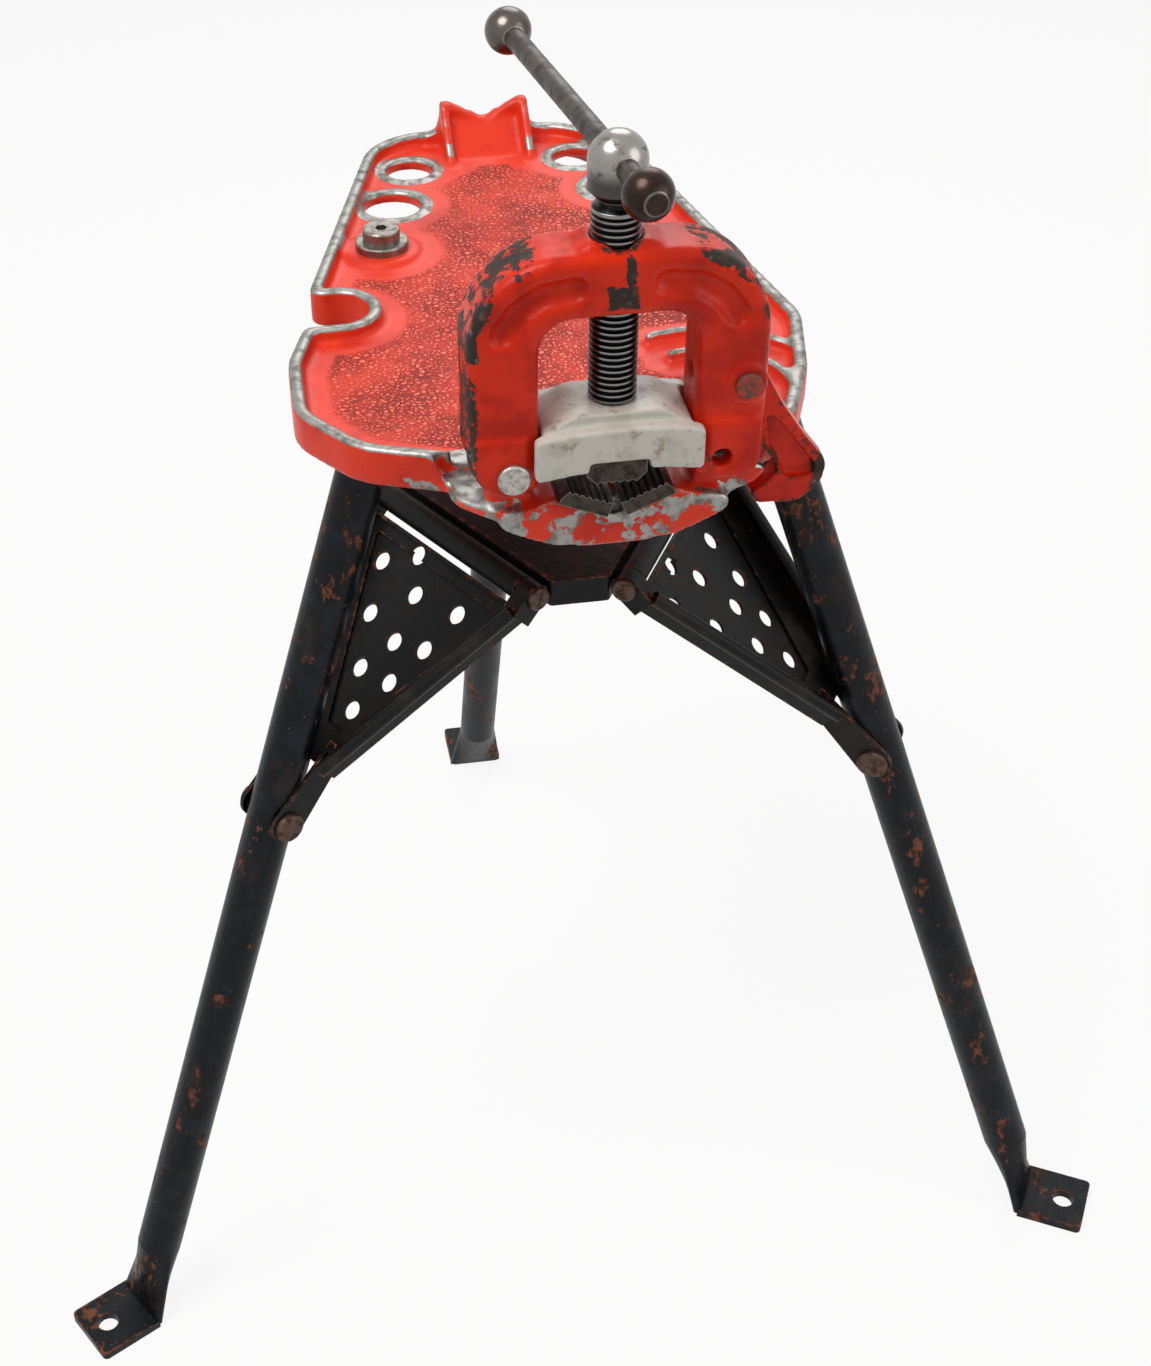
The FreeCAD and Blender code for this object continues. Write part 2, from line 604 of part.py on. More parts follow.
def hook_pin():
    return headed_pin(HOOK_PIN_R, HOOK_PIN_R + 2.5, HOOK_PIN_HEAD, HOOK_AT[0], DECK_Z + HOOK_AT[1],
                      VISE_Y - YOKE_DEEP / 2 - HOOK_BOSS, VISE_Y + YOKE_DEEP / 2)


def hook():
    """Channelled arm from its eye in the yoke, with a toe under the tray's nose."""
    front, rear = VISE_Y - HOOK_THICK / 2, VISE_Y + HOOK_THICK / 2
    x, z = HOOK_AT
    toe = [(NOSE[0] + dx, NOSE[1] + dz, r) for dx, dz, r in
           ((TOE_GAP + 3, 2, 3), (TOE_GAP, -4, 1.5), (TOE_GAP - 10, -13, 1), (TOE_GAP - 14, -15, 2))]
    arm = plate(from_rim([(x - 6, z - 9, 2), (x + 8, z + 11, 6), (101, 32, 20), (116, 9, 20), (131, -11, 12),
                          (129, -24, 10), (115, -38, 14), (89, -36, 6)] + toe[::-1] +
                         [(93, 0, 6), (85, 12, 10)]),
                front, rear)
    body = join([arm, rod(HOOK_EYE_R, (x, front, DECK_Z + z), (x, rear, DECK_Z + z))])
    pocket = from_rim([(91, 28, 2), (100, 20, 5), (124, -12, 5), (123, -20, 4), (106, -20, 4), (95, 4, 8)])
    for near, far in ((front - 1, front + HOOK_POCKET), (rear - HOOK_POCKET, rear + 1)):
        body = body.cut(plate(pocket, near, far))
    return body.cut(rod(HOOK_PIN_R + RUN_FIT, (x, front - 1, DECK_Z + z), (x, rear + 1, DECK_Z + z)))


# Jaw block that slides in the yoke, with its insert

def jaw_block():
    front, rear = VISE_Y - YOKE_DEEP / 2 - FLANGE_GAP, VISE_Y + YOKE_DEEP / 2 + FLANGE_GAP
    face = from_rim([(-BLOCK_HALF, BLOCK_LOW, 3), (-BLOCK_HALF / 2, BLOCK_LOW + BLOCK_HOLLOW * 0.8, 30),
                     (0, BLOCK_LOW + BLOCK_HOLLOW, 40), (BLOCK_HALF / 2, BLOCK_LOW + BLOCK_HOLLOW * 0.8, 30),
                     (BLOCK_HALF, BLOCK_LOW, 3), (BLOCK_HALF, BLOCK_SIDE_TOP, 4),
                     (BLOCK_HALF / 2, BLOCK_SIDE_TOP + BLOCK_ARCH * 0.8, 60),
                     (0, BLOCK_SIDE_TOP + BLOCK_ARCH, 60),
                     (-BLOCK_HALF / 2, BLOCK_SIDE_TOP + BLOCK_ARCH * 0.8, 60),
                     (-BLOCK_HALF, BLOCK_SIDE_TOP, 4)])
    flanges = [plate(face, front - FLANGE, front), plate(face, rear, rear + FLANGE)]
    body = plate(from_rim([(-BLOCK_BODY_HALF, INSERT_TOP, 0), (BLOCK_BODY_HALF, INSERT_TOP, 0),
                           (BLOCK_BODY_HALF, BLOCK_SIDE_TOP, 3), (BLOCK_CROWN_HALF, BLOCK_CROWN, 20),
                           (-BLOCK_CROWN_HALF, BLOCK_CROWN, 20), (-BLOCK_BODY_HALF, BLOCK_SIDE_TOP, 3)]),
                 front, rear)
    block = join(flanges + [body])
    cuts = [rod(SCREW_PIN_R + RUN_FIT, (0, VISE_Y, DECK_Z + SCREW_PIN_LOW - 1), (0, VISE_Y, DECK_Z + FAR)),
            box(-INSERT_HALF, INSERT_HALF, front - FLANGE - 1, rear + FLANGE + 1, DECK_Z,
                DECK_Z + INSERT_TOP)]
    for side in (-1, 1):
        cuts.append(rod(KEEPER_R, (side * SCREW_PIN_R, VISE_Y - KEEPER_FRONT, DECK_Z + KEEPER_Z),
                        (side * SCREW_PIN_R, rear + FLANGE + 1, DECK_Z + KEEPER_Z)))
        cuts.append(rod(INSERT_BOLT_R, (0, VISE_Y + side * INSERT_BOLT_Y, DECK_Z + INSERT_TOP - 1),
                        (0, VISE_Y + side * INSERT_BOLT_Y, DECK_Z + SCREW_PIN_LOW - 2)))
    return block.cut(Part.makeCompound(cuts))


def keeper_pins():
    """Pair of pins beside the groove in the screw's end; they hold the screw in the jaw block."""
    rear = VISE_Y + YOKE_DEEP / 2 + FLANGE_GAP + FLANGE
    return Part.makeCompound([rod(KEEPER_R, (side * SCREW_PIN_R, VISE_Y - KEEPER_FRONT, DECK_Z + KEEPER_Z),
                                  (side * SCREW_PIN_R, rear - 0.5, DECK_Z + KEEPER_Z)) for side in (-1, 1)])


def upper_jaw():
    outline = [(-INSERT_HALF, INSERT_TOP, 0), (-INSERT_HALF, 2, 0), (-INSERT_TOOTHED, INSERT_LOW, 0)]
    width = 2 * INSERT_TOOTHED / INSERT_TEETH
    for i in range(INSERT_TEETH):
        x = -INSERT_TOOTHED + i * width
        outline += [(x + width / 2, INSERT_LOW + TOOTH_DEEP, 0), (x + width, INSERT_LOW, 0)]
    outline += [(INSERT_HALF, 2, 0), (INSERT_HALF, INSERT_TOP, 0)]
    jaw = plate(from_rim(outline), VISE_Y - JAW_DEEP / 2 + 1, VISE_Y + JAW_DEEP / 2 + 3)
    for side in (-1, 1):
        y = VISE_Y + side * INSERT_BOLT_Y
        jaw = jaw.cut(rod(INSERT_BOLT_R, (0, y, DECK_Z - FAR), (0, y, DECK_Z + INSERT_TOP + 1)))
        jaw = jaw.cut(rod(INSERT_BOLT_R * 1.8, (0, y, DECK_Z - FAR), (0, y, DECK_Z + INSERT_LOW + 6)))
    return jaw


def upper_jaw_screws():
    screws = []
    for side in (-1, 1):
        y = VISE_Y + side * INSERT_BOLT_Y
        shank = rod(INSERT_BOLT_R, (0, y, DECK_Z + INSERT_LOW + 3), (0, y, DECK_Z + SCREW_PIN_LOW - 3))
        head = rod(INSERT_BOLT_R * 1.8, (0, y, DECK_Z + INSERT_LOW + 2.5), (0, y, DECK_Z + INSERT_LOW + 6))
        screws.append(join([shank, head]))
    return Part.makeCompound(screws)


# Screw and handle

def screw():
    """Turned in one piece; the thread is drawn as rings, so that it can slide through the yoke's bore."""
    groove = KEEPER_R + KEEPER_PLAY
    waist = SCREW_PIN_R - KEEPER_R - KEEPER_PLAY
    thread_low = BLOCK_CROWN + 0.4
    profile = [(0, SCREW_PIN_LOW), (SCREW_PIN_R, SCREW_PIN_LOW), (SCREW_PIN_R, KEEPER_Z - groove),
               (waist, KEEPER_Z - groove), (waist, KEEPER_Z + groove), (SCREW_PIN_R, KEEPER_Z + groove),
               (SCREW_PIN_R, thread_low), (SCREW_ROOT_R, thread_low)]
    for i in range(THREAD_TURNS):
        z = thread_low + i * THREAD_PITCH
        profile += [(SCREW_ROOT_R, z + 0.8), (SCREW_R, z + 1.6), (SCREW_R, z + 2.8), (SCREW_ROOT_R, z + 3.6)]
    end = thread_low + THREAD_TURNS * THREAD_PITCH
    chin = HEAD_Z - HEAD_SIDE
    side = HEAD_R - 0.4
    profile += [(SCREW_ROOT_R, end), (SCREW_R, end + 1), (SCREW_R, end + 3), (NECK_R, end + 5),
                (NECK_R, chin - HEAD_CHIN), (side, chin), (side, HEAD_Z), (0, HEAD_Z)]
    points = [V(r, 0, z) for r, z in profile]
    turned = Part.Face(Part.makePolygon(points + points[:1])).revolve(V(0, 0, 0), UP, 360)
    turned.translate(V(0, VISE_Y, DECK_Z))
    body = join([turned, ball(HEAD_R, (0, VISE_Y, DECK_Z + HEAD_Z))])
    return body.cut(rod(BAR_R + RUN_FIT, bar_point(-40), bar_point(40)))


def bar_point(along):
    return (-sin(BAR_TURN) * along, VISE_Y + cos(BAR_TURN) * along, DECK_Z + HEAD_Z)


def handle_bar():
    return rod(BAR_R, bar_point(-BAR_NEAR - BALL_R * 0.93), bar_point(BAR_FAR + BALL_R * 0.93))


def handle_ball(along):
    return ball(BALL_R, bar_point(along)).cut(rod(BAR_R, bar_point(along - 20), bar_point(along + 20)))


# Legs; each is made along +X and swung to its azimuth

def leg_point(z):
    return (LEG_HINGE_REACH + (HINGE_Z - z) * tan(LEG_LEAN), 0, z)


def leg():
    bend = V(*leg_point(FOOT_THICK / 2))
    axis = V(-sin(LEG_LEAN), 0, cos(LEG_LEAN))
    top = V(*leg_point(HINGE_Z)) + axis * LEG_TOP_SPARE
    flare_top = bend + axis * FOOT_FLARE
    tube = rod(LEG_R, flare_top, top).cut(rod(LEG_R - LEG_WALL, flare_top + axis * LEG_WALL, top + axis))
    circle = Part.Wire(Part.makeCircle(LEG_R, flare_top, axis))
    half, edge = FOOT_WIDTH / 2, FOOT_THICK / 2
    pressed = Part.Wire([Part.Arc(V(edge, -half + edge, 0), V(0, -half, 0),
                                  V(-edge, -half + edge, 0)).toShape(),
                         Part.LineSegment(V(-edge, -half + edge, 0), V(-edge, half - edge, 0)).toShape(),
                         Part.Arc(V(-edge, half - edge, 0), V(0, half, 0),
                                  V(edge, half - edge, 0)).toShape(),
                         Part.LineSegment(V(edge, half - edge, 0), V(edge, -half + edge, 0)).toShape()])
    pressed.rotate(V(0, 0, 0), V(0, 1, 0), -degrees(LEG_LEAN))
    pressed.translate(bend)
    flare = Part.makeLoft([pressed, circle], True)
    knuckle = rod(FOOT_THICK / 2, bend + V(0, edge - half, 0), bend + V(0, half - edge, 0))
    hole = bend.x + FOOT_HEEL
    foot = slab([(bend.x, -half, 0), (hole + FOOT_TOE, -half, 4), (hole + FOOT_TOE, half, 4),
                 (bend.x, half, 0)],
                0, FOOT_THICK)
    body = join([tube, flare, knuckle, foot])
    body = body.cut(Part.makeCylinder(FOOT_HOLE_R, 4 * FOOT_THICK, V(hole, 0, -FOOT_THICK)))
    pivot, hinge = leg_point(PIVOT_Z), leg_point(HINGE_Z)
    body = body.cut(rod(RIVET_R, (pivot[0], -FAR, pivot[2]), (pivot[0], FAR, pivot[2])))
    return body.cut(rod(LEG_BOLT_R + RUN_FIT, (hinge[0], -FAR, hinge[2]), (hinge[0], FAR, hinge[2])))


def leg_rivet():
    x, y, z = leg_point(PIVOT_Z)
    reach = LEG_R + EAR_GAP + EAR_THICK + 0.3
    return headed_pin(RIVET_R, RIVET_HEAD_R, RIVET_HEAD, x, z, -reach, reach)


def lug_outside():
    return LEG_R + LUG_GAP + LUG_THICK


def across_leg(shape):
    """Stand a shape made along +Z on the leg hinge's line, facing along -Y."""
    shape.rotate(V(0, 0, 0), V(1, 0, 0), 90)
    shape.translate(V(LEG_HINGE_REACH, 0, HINGE_Z))
    return shape


def leg_hinge_bolts():
    end = lug_outside()
    head = hexagon(HINGE_BOLT_ACROSS, end, end + HINGE_BOLT_HEAD, (0, 0))
    shank = rod(LEG_BOLT_R, (0, 0, -end - HINGE_BOLT_HEAD - HINGE_BOLT_END), (0, 0, end + 1))
    bolt = across_leg(join([head, shank]))
    return Part.makeCompound([swung(bolt, azimuth) for name, azimuth in LEG_NAMES])


def leg_hinge_nuts():
    end = lug_outside()
    nut = hexagon(HINGE_BOLT_ACROSS, -end - HINGE_BOLT_HEAD, -end, (0, 0))
    nut = across_leg(nut.cut(rod(LEG_BOLT_R, (0, 0, -FAR), (0, 0, 0))))
    return Part.makeCompound([swung(nut, azimuth) for name, azimuth in LEG_NAMES])


# Hub and pans

def hub_outline(inset):
    """Triangle with its corners cut off, sides HUB_HALF long each way from their middles."""
    reach, half = HUB_REACH - BARREL_R - 0.5 - inset, HUB_HALF - inset
    points = []
    for name, azimuth in LEG_NAMES:
        a = radians(azimuth)
        for side in (-1, 1):
            points.append((reach * cos(a) - side * half * sin(a),
                           reach * sin(a) + side * half * cos(a), HUB_CORNER))
    return points


def hub_plate():
    low, high = HUB_Z - HUB_TALL / 2, HUB_Z + HUB_TALL / 2
    body = slab(hub_outline(0), low, high).cut(slab(hub_outline(HUB_SHEET), low + HUB_SHEET, high + 1))
    barrel = rod(BARREL_R, (HUB_REACH, -BARREL_HALF, HUB_Z), (HUB_REACH, BARREL_HALF, HUB_Z))
    web = box(HUB_REACH - BARREL_R - 2, HUB_REACH, -BARREL_HALF, BARREL_HALF,
              HUB_Z - BARREL_WEB, HUB_Z + BARREL_WEB)
    side = join([barrel, web])
    body = join([body] + [swung(side, azimuth) for name, azimuth in LEG_NAMES])
    for name, azimuth in LEG_NAMES:
        body = body.cut(swung(rod(HINGE_PIN_R + RUN_FIT, (HUB_REACH, -BARREL_HALF - 1, HUB_Z),
                                  (HUB_REACH, BARREL_HALF + 1, HUB_Z)), azimuth))
    return body.cut(Part.makeCylinder(HUB_MIDDLE_R, HUB_TALL, V(0, 0, low - 1)))


def hinge_pin():
    return headed_pin(HINGE_PIN_R, BARREL_R - 1, HINGE_HEAD, HUB_REACH, HUB_Z,
                      -HINGE_PIN_HALF, HINGE_PIN_HALF)


def pan_slope():
    pivot = leg_point(PIVOT_Z)
    return atan2(HUB_Z - pivot[2], pivot[0] - HUB_REACH)


def pan_length():
    pivot = leg_point(PIVOT_Z)
    return hypot(HUB_Z - pivot[2], pivot[0] - HUB_REACH)


def pan_outline(inset, start):
    return [(start, -PAN_WIDE + inset, 0), (PAN_END, -PAN_NARROW + inset, 0),
            (PAN_END, PAN_NARROW - inset, 0), (start, PAN_WIDE - inset, 0)]


def pan():
    """Pressed pan: +X down its slope from the hub hinge, +Z square to its sheet."""
    length = pan_length()
    floor = PAN_FLOOR + PAN_SHEET
    sheet = slab(pan_outline(0, PAN_START), floor, floor + PAN_SHEET)
    near, far = PAN_PANEL
    panel_corners = zip(pan_outline(PAN_STEP, PAN_START), (near, far, far, near))
    panel = slab([(x + d, y, 4) for (x, y, r), d in panel_corners],
                 PAN_FLOOR, floor + PAN_SHEET)
    near, far = near + PAN_SHEET, far - PAN_SHEET
    sunk_corners = zip(pan_outline(PAN_STEP + PAN_SHEET, PAN_START), (near, far, far, near))
    sunk = slab([(x + d, y, 3) for (x, y, r), d in sunk_corners], floor, floor + 2 * PAN_SHEET)
    body = join([sheet, panel]).cut(sunk)
    wall = slab(pan_outline(0, PAN_START), floor, floor + PAN_WALL)
    wall = wall.cut(slab(pan_outline(PAN_SHEET, PAN_START - 1), floor - 1, floor + PAN_WALL + 1))
    wall = wall.cut(box(PAN_END - PAN_SHEET * 2, PAN_END + 9, -PAN_NARROW + 3, PAN_NARROW - 3, -FAR, FAR))
    turned_up = box(PAN_START, PAN_START + PAN_SHEET, -PAN_WIDE + 2, PAN_WIDE - 2, floor, 0)
    pieces = [body, wall, turned_up]
    ear_in = LEG_R + EAR_GAP
    for side in (-1, 1):
        start = (PAN_START + 4, side * (PAN_WIDE - 1), floor + PAN_WALL)
        end = (PAN_END, side * PAN_NARROW, floor + PAN_WALL)
        pieces.append(rod(PAN_ROLL_R, start, end))
        low, high = sorted((side * ear_in, side * (ear_in + EAR_THICK)))
        pieces.append(rod(EAR_R, (length, low, 0), (length, high, 0)))
        pieces.append(plate([(PAN_END - PAN_NECK, floor, 0), (length, -EAR_R, 0), (length, EAR_R, 0),
                             (PAN_END - PAN_NECK, floor + PAN_WALL, 0)], low, high))
        inner, outer = sorted((side * (ear_in + EAR_THICK / 2), side * PAN_NARROW))
        pieces.append(box(PAN_END - PAN_NECK, PAN_END - PAN_NECK + 8, inner, outer, floor, floor + PAN_WALL))
        inner, outer = sorted((side * (BARREL_HALF + 1), side * (HINGE_PIN_HALF - 0.4)))
        pieces.append(rod(BARREL_R, (0, inner, 0), (0, outer, 0)))
        pieces.append(box(0, PAN_START + 6, inner, outer, PAN_FLOOR, BARREL_R - 0.5))
    body = join(pieces)
    cuts = [Part.makeCylinder(PAN_HOLE_R, FAR, V(along, across, -FAR / 2)) for across, along in PAN_HOLES]
    cuts.append(rod(HINGE_PIN_R, (0, -FAR, 0), (0, FAR, 0)))
    cuts.append(rod(RIVET_R + EAR_PLAY, (length, -FAR, 0), (length, FAR, 0)))
    body = body.cut(Part.makeCompound(cuts))
    body.rotate(V(0, 0, 0), V(0, 1, 0), degrees(pan_slope()))
    body.translate(V(HUB_REACH, 0, HUB_Z))
    return body


def nodes():
    made = {
        "vise_base": vise_base(),
        "tray_washer": tray_washer(),
        "tray_bolt": tray_bolt(),
        "tray_nut": tray_nut(),
        "lower_jaw_left": lower_jaw(-1),
        "lower_jaw_right": lower_jaw(1),
        "lower_jaw_screws": lower_jaw_screws(),
        "yoke": yoke(),
        "yoke_pin": yoke_pin(),
        "hook": hook(),
        "hook_pin": hook_pin(),
        "jaw_block": jaw_block(),
        "keeper_pins": keeper_pins(),
        "upper_jaw": upper_jaw(),
        "upper_jaw_screws": upper_jaw_screws(),
        "screw": screw(),
        "handle_bar": handle_bar(),
        "handle_ball_far": handle_ball(BAR_FAR),
        "handle_ball_near": handle_ball(-BAR_NEAR),
        "leg_hinge_bolts": leg_hinge_bolts(),
        "leg_hinge_nuts": leg_hinge_nuts(),
        "hub_plate": hub_plate(),
    }
    for kind, shape in (("leg", leg()), ("leg_rivet", leg_rivet()), ("hinge_pin", hinge_pin()),
                        ("pan", pan())):
        for name, azimuth in LEG_NAMES:
            made[kind + "_" + name] = swung(shape, azimuth)
    return made


def main():
    os.makedirs("parts", exist_ok=True)
    for name, shape in nodes().items():
        shape.exportStep("parts/" + name + ".step")
        box_ = shape.BoundBox
        print("%-20s solids %d valid %s volume %.0f z %.1f to %.1f" % (
            name, len(shape.Solids), shape.isValid(), shape.Volume, box_.ZMin, box_.ZMax))


main()
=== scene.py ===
"""Tripod pipe vise stand: finishes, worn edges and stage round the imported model."""

import json
import math

import bmesh
import bpy
from bpy.props import FloatProperty, FloatVectorProperty, PointerProperty, StringProperty
from mathutils import Euler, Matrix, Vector, kdtree


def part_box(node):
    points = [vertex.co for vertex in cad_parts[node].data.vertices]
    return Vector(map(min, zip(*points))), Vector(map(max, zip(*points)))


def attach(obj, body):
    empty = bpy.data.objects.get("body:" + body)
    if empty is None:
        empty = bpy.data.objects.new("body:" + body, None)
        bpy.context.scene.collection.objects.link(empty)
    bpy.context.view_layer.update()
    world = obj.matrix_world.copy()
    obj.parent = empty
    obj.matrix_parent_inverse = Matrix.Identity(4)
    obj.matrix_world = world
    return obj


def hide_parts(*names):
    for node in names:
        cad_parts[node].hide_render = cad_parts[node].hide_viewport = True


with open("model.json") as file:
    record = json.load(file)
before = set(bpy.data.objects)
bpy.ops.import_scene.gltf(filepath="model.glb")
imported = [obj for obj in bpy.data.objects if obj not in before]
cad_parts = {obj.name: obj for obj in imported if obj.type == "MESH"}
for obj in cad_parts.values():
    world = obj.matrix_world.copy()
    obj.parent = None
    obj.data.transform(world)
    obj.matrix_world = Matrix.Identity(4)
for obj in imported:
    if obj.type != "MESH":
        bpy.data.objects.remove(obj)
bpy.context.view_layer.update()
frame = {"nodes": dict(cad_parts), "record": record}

bl_info = {
    "name": "Pipe vise stand",
    "version": (1, 0, 0),
    "blender": (4, 5, 0),
    "location": "View3D > Sidebar > Vise Stand",
    "description": "Finishes and stage of a tripod pipe vise stand",
    "category": "Object",
}

MM = 0.001
X, Y, Z = range(3)
SMOOTH = {"interpolation_type": "SMOOTHSTEP"}      # gives a mask a soft start and end

# Places on the stand, in mm.
REST_RISE = 24                                     # the pipe rest above the tray's rim
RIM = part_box("vise_base")[1].z / MM - REST_RISE    # the rim's top
FLOOR = RIM - 10                                   # the tray's floor
VISE_Y = -202                                      # the vise's middle plane
YOKE_FRONT = -222                                  # the yoke's front face
PIPE_HOLES = (((64, 248), 25.5), ((84, 189), 29.5))    # the right pair, and how far their rings reach
REST_WEB = (0, 300, RIM), (27, 40, 12)             # the pipe rest's web: its middle and half sides
ARCH_CORE = (32, 0, RIM + 87)                      # where the yoke's right shoulder begins to turn
SHOULDER = 56                                      # that turn's radius
SCREW_HEAD = RIM + 168                             # the underside of the feed screw's head
THREAD_CREST = (13.9, 14.25)                       # the thread's crest lies between these radii
BLOCK_BACK = -181                                  # the jaw block's painted part ends here
LANDING = (-76, VISE_Y, RIM - 16), (26, 34, 9)     # where the opened yoke lands: middle and half sides
PLAIN_BORDER = 9                                   # the tray's floor has no grain this near its border
GRAIN_RISE = 3                                     # and is fully grained this much further in


def linear(code):
    """The linear RGBA of an sRGB hex colour."""
    parts = [int(code[i:i + 2], 16) / 255 for i in (1, 3, 5)]
    parts = [v / 12.92 if v <= 0.04045 else ((v + 0.055) / 1.055) ** 2.4 for v in parts]
    return (*parts, 1.0)


def add(mat, kind, inputs=None, **settings):
    """Adds a shader node with its settings and inputs; an input is a value or another's socket."""
    made = mat.node_tree.nodes.new("ShaderNode" + kind)
    for key, value in settings.items():
        setattr(made, key, value)
    for key, value in (inputs or {}).items():
        if isinstance(value, bpy.types.NodeSocket):
            mat.node_tree.links.new(value, made.inputs[key])
        else:
            made.inputs[key].default_value = value
    return made


def per_mm(size):
    """The texture scale, per metre, of a pattern whose features are this many millimetres."""
    return 1 / (size * MM)


def new_material(name):
    """An empty node material and its object coordinates."""
    mat = bpy.data.materials.new(name)
    mat.use_nodes = True
    mat.node_tree.nodes.clear()
    return mat, add(mat, "TexCoord").outputs["Object"]


def larger(mat, first, *others):
    """The largest of several masks."""
    for other in others:
        first = add(mat, "Math", {0: first, 1: other}, operation="MAXIMUM").outputs[0]
    return first


def times(mat, first, *others):
    """The product of several masks or numbers."""
    for other in others:
        first = add(mat, "Math", {0: first, 1: other}, operation="MULTIPLY").outputs[0]
    return first


def mottle(mat, place, size, detail, rough, moved):
    """Cloudy noise whose features are that size in mm, read at the place moved by that much."""
    read_at = add(mat, "VectorMath", {0: place, 1: moved}, operation="ADD").outputs[0]
    return add(mat, "TexNoise", {
        "Vector": read_at, "Scale": per_mm(size), "Detail": detail, "Roughness": rough}).outputs[0]


def blotches(mat, place, size, start, end, detail=5.0, rough=0.6, shift=0.0):
    """A mask of irregular patches of that size in mm: 0 below start, 1 above end."""
    noise = mottle(mat, place, size, detail, rough, (shift, shift * 0.7, -shift))
    return add(mat, "MapRange", {0: noise, 1: start, 2: end}, **SMOOTH).outputs[0]


def worn(mat, drive, weight, place, size, start, end, detail=6.0, rough=0.65, shift=0.0):
    """A chip mask: patches of that size, let in where the drive mask, times its weight, lifts them."""
    noise = mottle(mat, place, size, detail, rough, (shift, -shift, shift * 0.6))
    lifted = add(mat, "Math", {0: drive, 1: weight, 2: noise}, operation="MULTIPLY_ADD").outputs[0]
    return add(mat, "MapRange", {0: lifted, 1: start, 2: end}, **SMOOTH).outputs[0]


def corners(mat, reach, inward=True, low=0.95, high=0.6):
    """A mask that is 1 on outer corners, or in inner ones when inward is off, within that many mm."""
    near = add(mat, "AmbientOcclusion", {"Distance": reach * MM}, inside=inward, only_local=True,
               samples=8)
    return add(mat, "MapRange", {0: near.outputs["AO"], 1: low, 2: high}).outputs[0]


def above(mat, place, axis, low, high):
    """A mask that goes from 0 at low to 1 at high, in mm along one axis; low may be the larger."""
    along = add(mat, "SeparateXYZ", {0: place}).outputs[axis]
    return add(mat, "MapRange", {0: along, 1: low * MM, 2: high * MM}, **SMOOTH).outputs[0]


def ring(mat, place, centre, reach, soft=2.0):
    """A mask of the upright cylinder round a centre, in mm, mirrored left to right and front to back."""
    flat = add(mat, "VectorMath", {0: place, 1: (1, 1, 0)}, operation="MULTIPLY").outputs[0]
    folded = add(mat, "VectorMath", {0: flat}, operation="ABSOLUTE").outputs[0]
    away = add(mat, "VectorMath", {0: folded, 1: (centre[0] * MM, centre[1] * MM, 0)},
               operation="DISTANCE").outputs["Value"]
    return add(mat, "MapRange", {0: away, 1: (reach + soft) * MM, 2: reach * MM}, **SMOOTH).outputs[0]


def in_halves(mat, place, centre, half):
    """The place as seen from a centre, counted in those half sizes, all in mm."""
    away = add(mat, "VectorMath", {0: place, 1: [v * MM for v in centre]}, operation="SUBTRACT")
    return add(mat, "VectorMath", {0: away.outputs[0], 1: [1 / (v * MM) for v in half]},
               operation="MULTIPLY").outputs[0]


def patch(mat, place, centre, half):
    """A mask of the ellipsoid round a centre, with those half axes, in mm."""
    away = add(mat, "VectorMath", {0: in_halves(mat, place, centre, half)}, operation="LENGTH")
    return add(mat, "MapRange", {0: away.outputs["Value"], 1: 1.08, 2: 0.92}, **SMOOTH).outputs[0]


def block_patch(mat, place, centre, half):
    """A mask of the box round a centre, with those half sides, in mm."""
    away = add(mat, "VectorMath", {0: in_halves(mat, place, centre, half)}, operation="ABSOLUTE")
    sides = add(mat, "SeparateXYZ", {0: away.outputs[0]}).outputs
    furthest = larger(mat, sides[X], sides[Y], sides[Z])
    return add(mat, "MapRange", {0: furthest, 1: 1.08, 2: 0.92}, **SMOOTH).outputs[0]


def ragged(mat, place, amount, size):
    """The place shaken by noise of that size, both in mm, so that a patch's outline is torn."""
    noise = add(mat, "TexNoise", {
        "Vector": place, "Scale": per_mm(size), "Detail": 5.0, "Roughness": 0.7}).outputs["Color"]
    off = add(mat, "VectorMath", {0: noise, 1: (0.5, 0.5, 0.5)}, operation="SUBTRACT").outputs[0]
    far = 2 * amount * MM
    return add(mat, "VectorMath", {0: off, 1: (far, far, far), 2: place},
               operation="MULTIPLY_ADD").outputs[0]


def surface(color, metallic, roughness):
    """One coat: its hex colour, its metallic and its roughness."""
    return {"Base Color": linear(color), "Metallic": metallic, "Roughness": roughness}


def over(mat, under, top, mask):
    """The top coat laid over the under one where the mask is 1."""
    out = {}
    for key in under:
        if key == "Base Color":
            out[key] = add(mat, "Mix", {0: mask, 6: under[key], 7: top[key]},
                           data_type="RGBA").outputs[2]
        elif under[key] == top[key]:
            out[key] = under[key]
        else:
            out[key] = add(mat, "Mix", {0: mask, 2: under[key], 3: top[key]}).outputs[0]
    return out


def corner_shade_and_grime(mat, coat, reach, low, high, strength, color, roughness):
    """The coat darkened to that colour in its inner corners: painted shade, together with dirt."""
    shade_and_grime = times(mat, corners(mat, reach, inward=False, low=low, high=high), strength)
    return over(mat, coat, surface(color, 0.0, roughness), shade_and_grime)


def relief(mat, *layers):
    """Bumps stacked in order, each a height mask and its height in mm."""
    normal = None
    for mask, height in layers:
        inputs = {"Height": mask, "Strength": 1.0, "Distance": abs(height) * MM}
        if normal:
            inputs["Normal"] = normal
        normal = add(mat, "Bump", inputs, invert=height < 0).outputs[0]
    return normal


def close(mat, coat, normal, specular=0.5):
    """Ends a material in its shader."""
    shader = add(mat, "BsdfPrincipled", {**coat, "Normal": normal, "Specular IOR Level": specular})
    add(mat, "OutputMaterial", {"Surface": shader.outputs[0]})
    return mat


